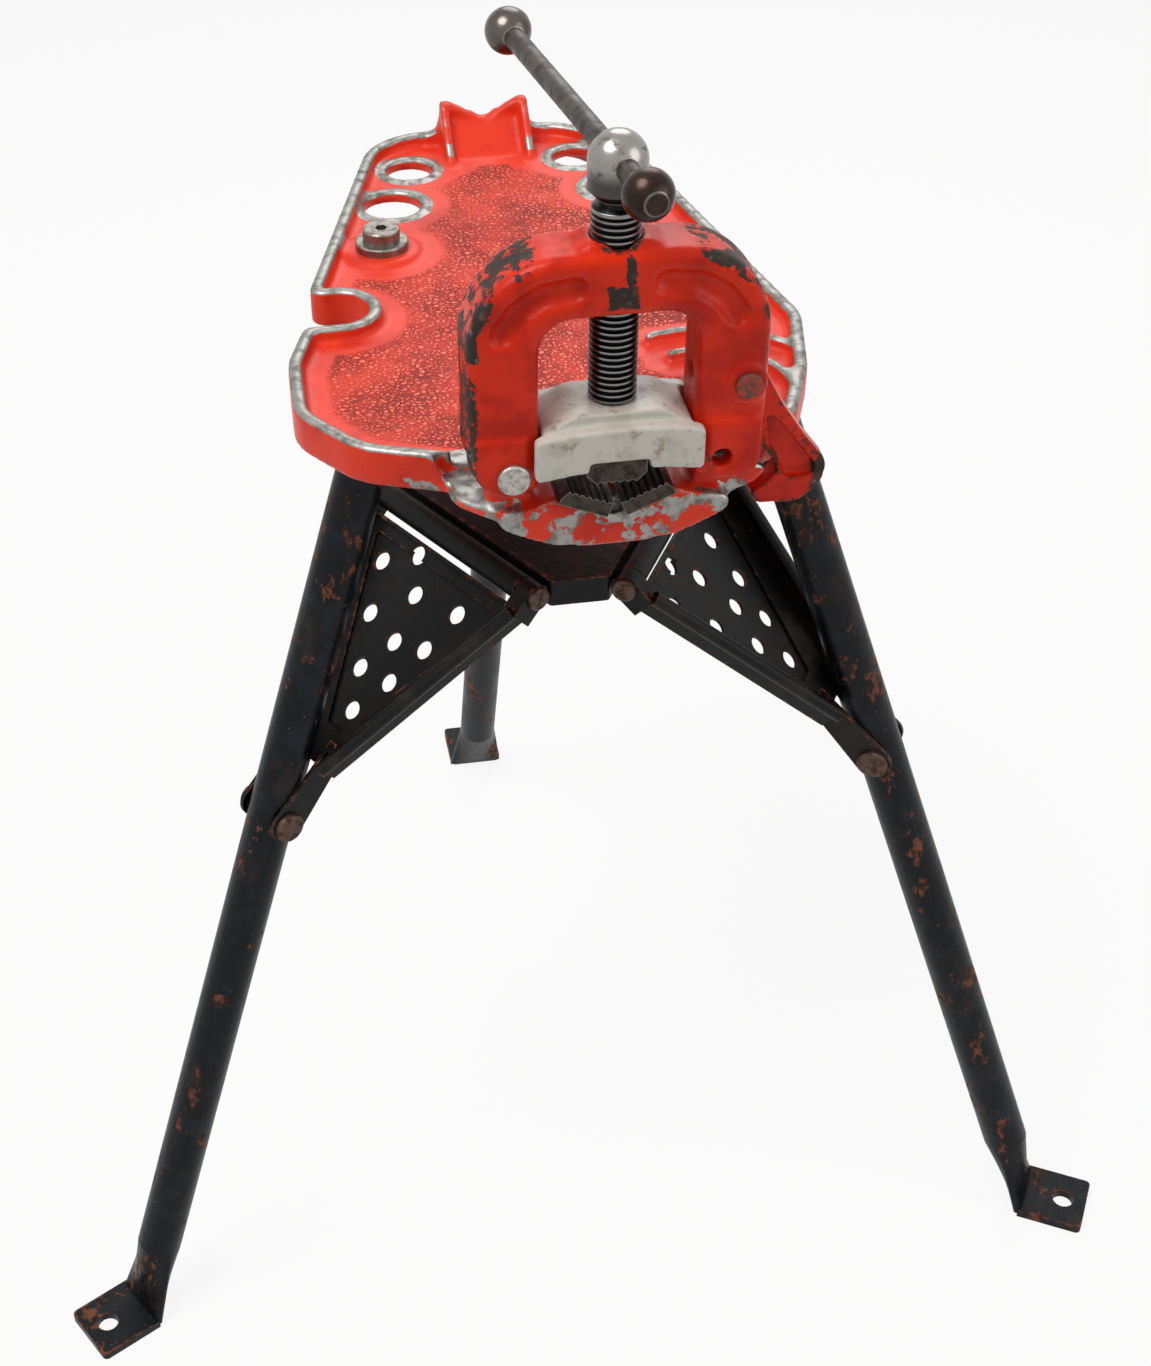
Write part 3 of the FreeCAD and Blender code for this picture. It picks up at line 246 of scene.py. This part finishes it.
def tray_enamel(paint, pebble_size):
    """Red enamel sprayed on an aluminium casting: glossy, pebbled on the floor, bright on the rims."""
    mat, place = new_material("red_enamel_on_cast_aluminium")
    red = surface(paint.tray, 0.0, 0.36)
    # The spray is a shade thinner in wide clouds.
    red = over(mat, red, surface("#C4240E", 0.0, 0.4), blotches(mat, place, 60, 0.45, 0.7, detail=3))
    # The floor's pebbles: cells with bent walls, darker between them in cloudy patches, and a painted
    # highlight on their tops.
    field = add(mat, "Attribute", attribute_name="field").outputs["Fac"]
    bent = add(mat, "TexNoise", {"Vector": place, "Scale": per_mm(7), "Detail": 2.0}).outputs["Color"]
    bend = 6 * MM
    bent = add(mat, "VectorMath", {0: bent, 1: (bend, bend, bend), 2: place}, operation="MULTIPLY_ADD")
    cells = add(mat, "TexVoronoi", {"Vector": bent.outputs[0], "Scale": 1 / pebble_size},
                feature="DISTANCE_TO_EDGE").outputs["Distance"]
    pebble = add(mat, "MapRange", {0: cells, 1: 0.02, 2: 0.28}, **SMOOTH).outputs[0]
    valley = add(mat, "MapRange", {0: pebble, 1: 0.6, 2: 0.1}).outputs[0]
    cloudy_darkening = blotches(mat, place, 42, 0.38, 0.62, detail=6, rough=0.62, shift=0.3)
    cloudy_darkening = add(mat, "MapRange", {0: cloudy_darkening, 3: 0.18, 4: 0.85}).outputs[0]
    # The pebbles' valleys turn a darker red-brown in cloudy patches.
    red = over(mat, red, surface("#5A1E14", 0.0, 0.6), times(mat, valley, field, cloudy_darkening))
    # Painted highlight: the pebble tops are made paler and glossier.
    pebble_highlight = add(mat, "MapRange", {0: pebble, 1: 0.75, 2: 1.0}, **SMOOTH).outputs[0]
    red = over(mat, red, surface("#F2735C", 0.0, 0.3), times(mat, pebble_highlight, field, 0.6))
    grime = blotches(mat, place, 20, 0.54, 0.7, detail=9, rough=0.74, shift=0.8)
    red = over(mat, red, surface("#6A2A1F", 0.0, 0.55), times(mat, grime, field, 0.45))
    # Bare aluminium: outer corners, the rim's crest, the hole rings and the platform's corners.
    edge = corners(mat, 3.4, low=0.93, high=0.66)
    up = add(mat, "SeparateXYZ", {0: add(mat, "NewGeometry").outputs["Normal"]}).outputs[Z]
    up = add(mat, "MapRange", {0: up, 1: 0.1, 2: 0.5}).outputs[0]
    crest = times(mat, above(mat, place, Z, RIM - 5.5, RIM - 3),
                  above(mat, place, Z, RIM + 4, RIM + 2), up)
    # The pipe rest's web is no crest: it keeps its paint.
    off_web = add(mat, "MapRange", {0: block_patch(mat, place, *REST_WEB), 1: 1, 2: 0},
                  **SMOOTH).outputs[0]
    crest = times(mat, crest, off_web)
    rings = times(mat, larger(mat, *(ring(mat, place, *hole) for hole in PIPE_HOLES)), up)
    bare = worn(mat, larger(mat, edge, crest, rings), 0.6, place, 11, 0.87, 0.89, detail=8)
    # More of it low on the front skirt, and in scrapes and nicks outside the pebbles.
    low_skirt = times(mat, above(mat, place, Z, RIM - 8, RIM - 22), above(mat, place, Y, -90, -170))
    skirt = worn(mat, low_skirt, 0.32, place, 26, 0.8, 0.815, detail=9, rough=0.66, shift=2.7)
    drawn = add(mat, "Mapping", {0: place, 2: (0.2, 0.5, 0.3), 3: (1, 1, 5)}).outputs[0]
    scrapes = blotches(mat, drawn, 20, 0.76, 0.775, detail=9, rough=0.78)
    nicks = larger(mat, blotches(mat, place, 7, 0.74, 0.755, detail=8, rough=0.7, shift=1.9), scrapes)
    plain = add(mat, "MapRange", {0: field, 1: 1, 2: 0}, **SMOOTH).outputs[0]
    bare = larger(mat, bare, skirt, times(mat, nicks, plain))
    metal = over(mat, surface("#93928D", 1.0, 0.4), surface("#65615A", 0.9, 0.6),
                 blotches(mat, place, 9, 0.42, 0.7, detail=7, shift=2.5))
    metal = over(mat, metal, surface("#4E4136", 0.2, 0.7),
                 blotches(mat, place, 4, 0.66, 0.7, detail=8, rough=0.7, shift=6.5))
    # Painted shade, with dirt, darkens the inner corners.
    coat = corner_shade_and_grime(mat, over(mat, red, metal, bare), 9, 0.75, 0.4, 0.5, "#47150D", 0.6)
    orange_peel = blotches(mat, place, 2.2, 0.3, 0.7, detail=2, shift=4.0)
    normal = relief(mat, (times(mat, pebble, field), 0.6), (orange_peel, 0.06), (bare, -0.22))
    return close(mat, coat, normal, specular=0.25)


def vise_enamel(paint):
    """Red enamel on cast iron: glossy, with brown-black iron showing on the shoulders and edges."""
    mat, place = new_material("red_enamel_on_cast_iron")
    red = surface(paint.enamel, 0.0, 0.3)
    red = over(mat, red, surface("#B31A05", 0.0, 0.38), blotches(mat, place, 34, 0.42, 0.68, detail=4))
    # How far a point lies outside the core of the yoke's arch, whose shoulders are round.
    folded = add(mat, "VectorMath", {0: place}, operation="ABSOLUTE").outputs[0]
    away = add(mat, "VectorMath", {0: folded, 1: [v * MM for v in ARCH_CORE]}, operation="SUBTRACT")
    away = add(mat, "VectorMath", {0: away.outputs[0], 1: (0, 0, 0)}, operation="MAXIMUM")
    away = add(mat, "VectorMath", {0: away.outputs[0], 1: (1, 0, 1)}, operation="MULTIPLY")
    away = add(mat, "VectorMath", {0: away.outputs[0]}, operation="LENGTH").outputs["Value"]
    outer = add(mat, "MapRange", {0: away, 1: (SHOULDER - 12) * MM, 2: (SHOULDER - 2) * MM},
                **SMOOTH).outputs[0]
    # The shoulders are chipped most, more on the left and high up, and the crown not at all.
    left = larger(mat, above(mat, place, X, 10, -30), above(mat, place, Z, RIM + 62, RIM + 88))
    left = add(mat, "MapRange", {0: left, 3: 0.3, 4: 1.0}).outputs[0]
    shoulder = times(mat, outer, above(mat, folded, X, 26, 52), left)
    edge = corners(mat, 5.0, low=0.97, high=0.7)
    chips = worn(mat, larger(mat, shoulder, times(mat, edge, 0.62)), 0.3, place, 15, 0.775, 0.79,
                 detail=10, rough=0.72)
    # Close rows of little chips on the edges only.
    rows = worn(mat, edge, 0.4, place, 4.5, 0.87, 0.89, detail=5, rough=0.7, shift=1.1)
    pits = blotches(mat, place, 4.5, 0.735, 0.75, detail=6, rough=0.7, shift=2.1)
    # A large chip above the window.
    shaken = ragged(mat, place, 5, 9)
    large = larger(mat, block_patch(mat, shaken, (1, YOKE_FRONT, RIM + 117), (9, 9, 7)),
                   patch(mat, shaken, (5, YOKE_FRONT, RIM + 132), (3.2, 12, 10)))
    # The hook's outer curve is rubbed dark along its edge.
    heel = times(mat, patch(mat, shaken, (140, VISE_Y, RIM - 24), (19, 40, 30)),
                 corners(mat, 9.0, low=0.96, high=0.82))
    chips = larger(mat, chips, rows, pits, large, heel)
    iron = over(mat, surface("#2E2723", 0.2, 0.5), surface("#54392A", 0.0, 0.75),
                blotches(mat, place, 7, 0.5, 0.66, shift=2.2))
    iron = over(mat, iron, surface("#6E6A64", 0.6, 0.5), blotches(mat, place, 8, 0.6, 0.7, shift=7.2))
    # Painted shade, with dirt, darkens the inner corners.
    coat = corner_shade_and_grime(mat, over(mat, red, iron, chips), 8, 0.8, 0.45, 0.45, "#45120A", 0.6)
    cast = blotches(mat, place, 5, 0.25, 0.75, detail=4, shift=5.0)
    return close(mat, coat, relief(mat, (cast, 0.16), (chips, -0.22)), specular=0.2)


def block_paint(paint):
    """Off-white paint on the sliding jaw block: satin, stained by oil and thread grease."""
    mat, place = new_material("stained_white_paint")
    white = surface(paint.block, 0.0, 0.42)
    white = over(mat, white, surface("#B8B2A4", 0.0, 0.5), blotches(mat, place, 16, 0.45, 0.7))
    white = over(mat, white, surface("#8A7A66", 0.0, 0.6),
                 times(mat, blotches(mat, place, 9, 0.56, 0.7, detail=8, shift=0.7), 0.7))
    specks = blotches(mat, place, 3.2, 0.7, 0.73, detail=6, rough=0.7, shift=1.7)
    white = over(mat, white, surface("#463A30", 0.0, 0.7), times(mat, specks, 0.9))
    # Bare iron: the corners, and the face behind that slides in the yoke.
    edge = worn(mat, corners(mat, 2.2), 0.3, place, 7, 0.78, 0.83)
    behind = above(mat, place, Y, BLOCK_BACK - 0.5, BLOCK_BACK + 0.5)
    coat = over(mat, white, surface("#8F8C87", 0.9, 0.5), larger(mat, edge, times(mat, behind, 0.85)))
    # Painted shade, with grease, darkens the inner corners.
    coat = corner_shade_and_grime(mat, coat, 6, 0.8, 0.4, 0.6, "#57483A", 0.7)
    normal = relief(mat, (blotches(mat, place, 4, 0.3, 0.7, shift=4.0), 0.1), (specks, -0.12))
    return close(mat, coat, normal)


def leg_paint(paint):
    """Blue-black stoving paint on steel tube: half gloss, scraped through to brown rust."""
    mat, place = new_material("blue_black_paint_on_tube")
    black = surface(paint.legs, 0.0, 0.34)
    black = over(mat, black, surface("#141B22", 0.0, 0.42), blotches(mat, place, 26, 0.48, 0.66))
    # Rust in spots drawn out along the tube, and paint worn thin round them.
    drawn = add(mat, "Mapping", {0: place, 3: (1, 1, 0.55)}).outputs[0]
    spots = worn(mat, corners(mat, 3.0), 0.12, drawn, 24, 0.58, 0.595, detail=10, rough=0.72)
    rust = over(mat, surface("#7A4A34", 0.0, 0.75), surface("#33241D", 0.0, 0.8),
                blotches(mat, place, 8, 0.42, 0.6, shift=2.0))
    coat = over(mat, black, rust, times(mat, spots, 0.92))
    worn_thin = blotches(mat, drawn, 30, 0.52, 0.68, detail=8, rough=0.7, shift=3.4)
    coat = over(mat, coat, surface("#3A2D27", 0.0, 0.6), times(mat, worn_thin, 0.45))
    # Pale nicks and long scratches.
    nicks = blotches(mat, place, 5.0, 0.66, 0.68, detail=8, rough=0.75, shift=1.3)
    drawn = add(mat, "Mapping", {0: place, 2: (0.7, 0.3, 0.4), 3: (7, 2, 1)}).outputs[0]
    nicks = larger(mat, nicks, blotches(mat, drawn, 30, 0.67, 0.685, detail=9, rough=0.8))
    coat = over(mat, coat, surface("#9A8270", 0.3, 0.55), times(mat, nicks, 0.85))
    # Painted shade, with dirt, darkens the inner corners.
    coat = corner_shade_and_grime(mat, coat, 9, 0.8, 0.4, 0.5, "#0F0C0A", 0.8)
    normal = relief(mat, (blotches(mat, place, 7, 0.3, 0.7, shift=4.0), 0.12), (spots, -0.15),
                    (nicks, -0.15))
    return close(mat, coat, normal, specular=0.18)


def pan_paint(paint):
    """Dull black paint on folded sheet steel: dusty flats and rusty rolled edges."""
    mat, place = new_material("dull_black_paint_on_sheet")
    black = surface(paint.pans, 0.0, 0.42)
    black = over(mat, black, surface("#3A352E", 0.0, 0.7),
                 times(mat, blotches(mat, place, 46, 0.46, 0.74, detail=7), 0.7))
    spots = worn(mat, corners(mat, 2.4), 0.17, place, 10, 0.65, 0.69, detail=9, rough=0.7)
    rust = over(mat, surface("#7A4B33", 0.0, 0.75), surface("#33241C", 0.0, 0.8),
                blotches(mat, place, 5, 0.42, 0.6, shift=2.0))
    coat = over(mat, black, rust, spots)
    drawn = add(mat, "Mapping", {0: place, 2: (0.4, 0.2, 0.9), 3: (1, 9, 1)}).outputs[0]
    scratches = blotches(mat, drawn, 34, 0.66, 0.69, detail=8, rough=0.7)
    coat = over(mat, coat, surface("#6B635B", 0.4, 0.5), times(mat, scratches, 0.4))
    # Painted shade, with dirt, darkens the inner corners.
    coat = corner_shade_and_grime(mat, coat, 7, 0.8, 0.4, 0.6, "#0C0A08", 0.85)
    normal = relief(mat, (blotches(mat, place, 9, 0.3, 0.7, shift=4.0), 0.15), (spots, -0.12))
    return close(mat, coat, normal, specular=0.18)


def steel(name, bright, dull, stain, roughness, size=8.0, edge_lift="#A9A39B", lift=0.35,
          unevenness=0.05, second=None):
    """A steel: its clean tone, a duller one in patches, stains over both, and rubbed outer corners.
    second, a function of the material and place, gives one more coat and its mask."""
    mat, place = new_material(name)
    coat = over(mat, surface(bright, 1.0, roughness), surface(dull, 1.0, roughness + 0.14),
                blotches(mat, place, size, 0.42, 0.66))
    coat = over(mat, coat, surface(stain, 0.3, roughness + 0.3),
                times(mat, blotches(mat, place, size * 0.7, 0.56, 0.68, detail=8, shift=1.0), 0.75))
    if second:
        top, mask = second(mat, place)
        coat = over(mat, coat, top, mask)
    rubbed = times(mat, corners(mat, 1.0, low=0.9, high=0.5), lift)
    coat = over(mat, coat, surface(edge_lift, 1.0, max(roughness - 0.05, 0.2)), rubbed)
    # Painted shade, with dirt, darkens the inner corners.
    coat = corner_shade_and_grime(mat, coat, 3, 0.7, 0.3, 0.6, "#120E0C", 0.75)
    return close(mat, coat, relief(mat, (blotches(mat, place, 2.6, 0.3, 0.7, shift=4.0), unevenness)))


def browned(limit):
    """The handle's near end is browned, from that y in mm forward."""
    def tones(mat, place):
        top = over(mat, surface("#3B2C25", 0.9, 0.24), surface("#241B17", 0.8, 0.34),
                   blotches(mat, place, 9, 0.42, 0.62, shift=5.2))
        return top, above(mat, place, Y, limit + 4, limit - 4)
    return tones


def painted_pin(mat, place):
    """The hook's pin, on the right, is painted over in red-brown."""
    top = over(mat, surface("#9E2A16", 0.0, 0.45), surface("#5A3326", 0.1, 0.6),
               blotches(mat, place, 5, 0.45, 0.55, shift=5.2))
    return top, above(mat, place, X, 20, 30)


def screw_crest_highlight_and_head(mat, place):
    """The thread's crests carry a painted highlight as bright lines, and its turned head is a polished
    grey.
    """
    flat = add(mat, "VectorMath", {0: place, 1: (1, 1, 0)}, operation="MULTIPLY").outputs[0]
    reach = add(mat, "VectorMath", {0: flat, 1: (0, VISE_Y * MM, 0)},
                operation="DISTANCE").outputs["Value"]
    # Painted highlight: a bright line along every thread crest.
    crest = add(mat, "MapRange", {0: reach, 1: THREAD_CREST[0] * MM, 2: THREAD_CREST[1] * MM},
                **SMOOTH).outputs[0]
    head = above(mat, place, Z, SCREW_HEAD, SCREW_HEAD + 2)
    dome = above(mat, place, Z, SCREW_HEAD + 12, SCREW_HEAD + 24)
    grey = over(mat, surface("#4A4846", 1.0, 0.34), surface("#94918C", 1.0, 0.24), dome)
    grey = over(mat, grey, surface("#4B4039", 0.8, 0.45), blotches(mat, place, 7, 0.52, 0.7, shift=6.0))
    top = over(mat, surface("#8C8A87", 1.0, 0.28), grey, head)
    return top, larger(mat, times(mat, crest, 0.85), head)


def finish_nodes(finishes):
    """Gives every CAD node its slot's material."""
    by_node = {part["node"]: part["material_slot"] for part in frame["record"]["subparts"]}
    for name, obj in frame["nodes"].items():
        obj.data.materials.clear()
        obj.data.materials.append(finishes[by_node[name]])


def new_object(name, data):
    """An object with that data, linked to the scene."""
    obj = bpy.data.objects.new(name, data)
    bpy.context.scene.collection.objects.link(obj)
    return obj


def cast_copy(name, body, finish, facets, rounds):
    """A copy of a CAD node that stands for it, with its edges rounded as a sand casting's are.
    facets is the size of its facets and rounds how often it is smoothed; gives its open bmesh."""
    mesh = bpy.data.meshes.new("merged_" + name)
    obj = new_object("cast_" + name, mesh)
    shell = bmesh.new()
    shell.from_mesh(frame["nodes"][name].data)
    bmesh.ops.remove_doubles(shell, verts=shell.verts, dist=0.002 * MM)
    bmesh.ops.dissolve_degenerate(shell, dist=0.001 * MM, edges=shell.edges)
    shell.to_mesh(mesh)
    shell.free()
    grid = obj.modifiers.new("Grain", "REMESH")
    grid.mode = "VOXEL"
    grid.voxel_size = facets
    shaped = obj.evaluated_get(bpy.context.evaluated_depsgraph_get())
    obj.data = bpy.data.meshes.new_from_object(shaped)
    obj.data.name = "cast_" + name
    obj.modifiers.clear()
    obj.data.materials.clear()
    obj.data.materials.append(finish)
    shell = bmesh.new()
    shell.from_mesh(obj.data)
    for _ in range(rounds):
        bmesh.ops.smooth_vert(shell, verts=shell.verts, factor=0.5, use_axis_x=True, use_axis_y=True,
                              use_axis_z=True)
    shell.normal_update()
    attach(obj, body)
    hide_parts(name)
    return obj, shell


def set_mesh(obj, shell):
    """Writes the shell to its object, smooth all over."""
    for face in shell.faces:
        face.smooth = True
    shell.to_mesh(obj.data)
    shell.free()


def grain_field(shell):
    """Marks the tray's floor for its pebbled grain, which fades in past the floor's plain border."""
    field = shell.verts.layers.float.new("field")
    floor = {v for v in shell.verts if v.normal.z > 0.99 and abs(v.co.z - FLOOR * MM) < 0.4 * MM}
    border = [v for v in floor if any(e.other_vert(v) not in floor for e in v.link_edges)]
    tree = kdtree.KDTree(len(border))
    for index, vert in enumerate(border):
        tree.insert(vert.co, index)
    tree.balance()
    for vert in floor:
        away = tree.find(vert.co)[2] / MM
        vert[field] = min(max((away - PLAIN_BORDER) / GRAIN_RISE, 0.0), 1.0)


def landing_wear(shell, depth):
    """Wears the platform down by that depth where the opened yoke lands on it, fading out all round."""
    centre, half = LANDING
    for vert in shell.verts:
        away = max(abs(vert.co[k] / MM - centre[k]) / half[k] for k in (X, Y, Z))
        if away < 1:
            vert.co.z -= depth * min((1 - away) * 3, 1.0)


def seen_directly(mat):
    """A mask that is 1 for what the eye sees, straight, in a reflection or through glass."""
    path = add(mat, "LightPath").outputs
    return larger(mat, path["Is Camera Ray"], path["Is Glossy Ray"], path["Is Transmission Ray"])


def lay_floor():
    """A wide pale floor that keeps the stand's shadow."""
    mat, _ = new_material("pale_floor")
    plain = add(mat, "BsdfDiffuse", {"Color": linear("#F2F1EF")})
    white = add(mat, "Emission", {"Color": (1, 1, 1, 1), "Strength": 1.0})
    blend = add(mat, "MixShader", {
        0: times(mat, seen_directly(mat), 0.88), 1: plain.outputs[0], 2: white.outputs[0]})
    add(mat, "OutputMaterial", {"Surface": blend.outputs[0]})
    mesh = bpy.data.meshes.new("floor")
    floor = new_object("floor", mesh)
    sheet = bmesh.new()
    bmesh.ops.create_grid(sheet, x_segments=1, y_segments=1, size=24.0)
    sheet.to_mesh(mesh)
    sheet.free()
    mesh.materials.append(mat)


def light_all_round(ambient):
    """A world that looks white and lights the stand with that strength."""
    world = bpy.data.worlds.new("studio")
    bpy.context.scene.world = world
    world.use_nodes = True
    world.node_tree.nodes.clear()
    level = add(world, "MapRange", {0: seen_directly(world), 3: ambient, 4: 1.0}).outputs[0]
    sky = add(world, "Background", {"Color": (1, 1, 1, 1), "Strength": level})
    add(world, "OutputWorld", {"Surface": sky.outputs[0]})


def hang_lamp(name, power, width, at):
    """A round lamp that points at the middle of the stand."""
    light = bpy.data.lights.new(name, "AREA")
    light.energy = power
    light.shape = "DISK"
    light.size = width
    lamp = new_object(name, light)
    lamp.location = at
    lamp.rotation_euler = (LAMPS_AIM - Vector(at)).to_track_quat("-Z", "Y").to_euler()


def set_camera(setting):
    """The camera, turned by its yaw and pitch and then rolled."""
    lens = bpy.data.cameras.new("camera")
    lens.sensor_fit = "VERTICAL"
    lens.sensor_height = 36.0
    lens.lens = setting.lens
    lens.shift_x, lens.shift_y = setting.shift
    lens.clip_end = 50
    camera = new_object("camera", lens)
    camera.location = setting.camera_at
    pitch, roll, yaw = setting.camera_turn
    turn = Euler((math.pi / 2 - pitch, 0, -yaw), "XYZ").to_matrix()
    camera.rotation_euler = (turn @ Euler((0, 0, roll)).to_matrix()).to_euler()
    bpy.context.scene.camera = camera


class VisePaint(bpy.types.PropertyGroup):
    """Colours of the coats, as sRGB hex."""
    enamel: StringProperty(
        name="Enamel", description="Red enamel of the yoke and hook", default="#DA2A08")
    tray: StringProperty(name="Tray", description="Red enamel of the tray", default="#E4381C")
    block: StringProperty(name="Jaw block", description="Paint of the jaw block", default="#C9C5BA")
    legs: StringProperty(name="Legs", description="Paint of the legs", default="#06090D")
    pans: StringProperty(name="Pans", description="Paint of the pans and hub", default="#0B0A0A")


class ViseCastings(bpy.types.PropertyGroup):
    """Facets, grain and wear of the castings."""
    tray_facets: FloatProperty(
        name="Tray facets", description="Size of the tray's facets", default=2.2 * MM, unit="LENGTH")
    yoke_facets: FloatProperty(
        name="Yoke facets", description="Size of the yoke's facets", default=1.3 * MM, unit="LENGTH")
    hook_facets: FloatProperty(
        name="Hook facets", description="Size of the hook's facets", default=1.0 * MM, unit="LENGTH")
    block_facets: FloatProperty(
        name="Block facets", description="Size of the jaw block's facets", default=1.1 * MM,
        unit="LENGTH")
    pebbles: FloatProperty(
        name="Pebbles", description="Width of the pebbles on the tray's floor", default=3.6 * MM,
        unit="LENGTH")
    landing: FloatProperty(
        name="Landing wear", description="How far the opened yoke has worn the platform down",
        default=1.2 * MM, unit="LENGTH")


class ViseStage(bpy.types.PropertyGroup):
    """Lamps and camera."""
    key_power: FloatProperty(
        name="Key lamp", description="Power of the key lamp", default=48.0, unit="POWER")
    fill_power: FloatProperty(
        name="Fill lamp", description="Power of the fill lamp", default=15.0, unit="POWER")
    rear_power: FloatProperty(
        name="Rear lamp", description="Power of the rear lamp", default=18.0, unit="POWER")
    ambient: FloatProperty(
        name="Ambient", description="Strength of the light all round", default=0.28)
    camera_at: FloatVectorProperty(
        name="Camera", description="Place of the camera", default=(-0.2333, -1.27752, 1.41526),
        subtype="TRANSLATION", unit="LENGTH")
    camera_turn: FloatVectorProperty(
        name="Camera turn", description="Pitch below level, roll and yaw of the camera",
        default=[math.radians(v) for v in (37.448, -2.152, 6.258)], unit="ROTATION")
    lens: FloatProperty(
        name="Lens", description="Focal length on a 36 mm high sensor, in mm", default=56.817)
    shift: FloatVectorProperty(
        name="Shift", description="Sideways and upward shift of the frame", size=2,
        default=(0.10981, -0.003))


FINISHES = {}
# Each casting: its body, its slot, the setting for its facets and its rounds of smoothing.
CASTINGS = {
    "vise_base": ("base", "tray_enamel", "tray_facets", 3),
    "yoke": ("yoke", "vise_enamel", "yoke_facets", 8),
    "hook": ("hook", "vise_enamel", "hook_facets", 6),
    "jaw_block": ("upper_jaw", "block_paint", "block_facets", 5),
}
# Each lamp: the setting for its power, its width and its place, in metres.
LAMPS = {
    "key": ("key_power", 1.6, (-1.1, -0.5, 2.9)),
    "fill": ("fill_power", 1.8, (1.9, -1.3, 1.7)),
    "rear": ("rear_power", 1.6, (0.6, 1.9, 2.4)),
}
LAMPS_AIM = Vector((0, -0.05, 0.6))


class VISE_OT_finishes(bpy.types.Operator):
    """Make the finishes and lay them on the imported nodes"""
    bl_idname = "vise.finishes"
    bl_label = "Finishes"

    def execute(self, context):
        paint = context.scene.vise_paint
        FINISHES.update({
            "tray_enamel": tray_enamel(paint, context.scene.vise_castings.pebbles),
            "vise_enamel": vise_enamel(paint),
            "block_paint": block_paint(paint),
            "leg_paint": leg_paint(paint),
            "pan_paint": pan_paint(paint),
            # Hot-formed rivets, oxidised brown.
            "rivet_steel": steel("brown_oxidised_steel", "#5C4A40", "#3B2F29", "#6E4A35", 0.5, size=5),
            # Turned pins whose heads are rubbed bright.
            "pin_steel": steel("rubbed_pin_steel", "#B3AFA8", "#8B8781", "#6A5A4C", 0.4, size=4,
                               second=painted_pin),
            # Hardened jaw steel, oiled and dark.
            "jaw_steel": steel("oiled_jaw_steel", "#453E39", "#2C2724", "#4D3B30", 0.42, size=7,
                               edge_lift="#8F8983", lift=0.6),
            # Cut thread, wet with cutting oil; its crests carry a painted highlight.
            "screw_steel": steel("oiled_thread_steel", "#1D1D1E", "#121212", "#0E0D0C", 0.24, size=9,
                                 edge_lift="#5C5B5A", lift=0.2, unevenness=0.02, second=screw_crest_highlight_and_head),
            # Cold-drawn bar, handled until it is dark.
            "bar_steel": steel("handled_bar_steel", "#55514E", "#413C39", "#4A382E", 0.4, size=12,
                               second=browned(-236)),
            # Turned balls, polished by hands.
            "ball_steel": steel("polished_ball_steel", "#615C58", "#4A433F", "#4A352B", 0.22, size=11,
                                unevenness=0.02, second=browned(-150)),
            # Plain zinc-dulled fasteners.
            "fastener_steel": steel("plain_fastener_steel", "#8F8B84", "#6C675F", "#5B4B3E", 0.34,
                                    size=6),
        })
        finish_nodes(FINISHES)
        return {"FINISHED"}


class VISE_OT_castings(bpy.types.Operator):
    """Round the castings' edges and lay the pebbled grain on the tray's floor"""
    bl_idname = "vise.castings"
    bl_label = "Castings"

    def execute(self, context):
        setting = context.scene.vise_castings
        for name, (body, slot_name, facets, rounds) in CASTINGS.items():
            obj, shell = cast_copy(name, body, FINISHES[slot_name],
                                   getattr(setting, facets), rounds)
            if name == "vise_base":
                grain_field(shell)
                landing_wear(shell, setting.landing)
            set_mesh(obj, shell)
        return {"FINISHED"}


class VISE_OT_stage(bpy.types.Operator):
    """Set the floor, the lamps and the camera"""
    bl_idname = "vise.stage"
    bl_label = "Stage"

    def execute(self, context):
        setting = context.scene.vise_stage
        lay_floor()
        light_all_round(setting.ambient)
        for name, (power, width, at) in LAMPS.items():
            hang_lamp(name, getattr(setting, power), width, at)
        set_camera(setting)
        context.scene.view_settings.view_transform = "Standard"
        return {"FINISHED"}


class VISE_PT_panel(bpy.types.Panel):
    """Lists the stand's steps"""
    bl_label = "Pipe Vise Stand"
    bl_idname = "VISE_PT_panel"
    bl_space_type = "VIEW_3D"
    bl_region_type = "UI"
    bl_category = "Vise Stand"

    def draw(self, context):
        for operator in OPERATORS:
            self.layout.operator(operator.bl_idname)


SETTINGS = {"vise_paint": VisePaint, "vise_castings": ViseCastings, "vise_stage": ViseStage}
OPERATORS = (VISE_OT_finishes, VISE_OT_castings, VISE_OT_stage)
CLASSES = (*SETTINGS.values(), *OPERATORS, VISE_PT_panel)


def register():
    for cls in CLASSES:
        bpy.utils.register_class(cls)
    for name, group in SETTINGS.items():
        setattr(bpy.types.Scene, name, PointerProperty(type=group))


def unregister():
    for name in SETTINGS:
        delattr(bpy.types.Scene, name)
    for cls in reversed(CLASSES):
        bpy.utils.unregister_class(cls)


def main():
    register()
    bpy.ops.vise.finishes()
    bpy.ops.vise.castings()
    bpy.ops.vise.stage()


if __name__ == "__main__":
    main()
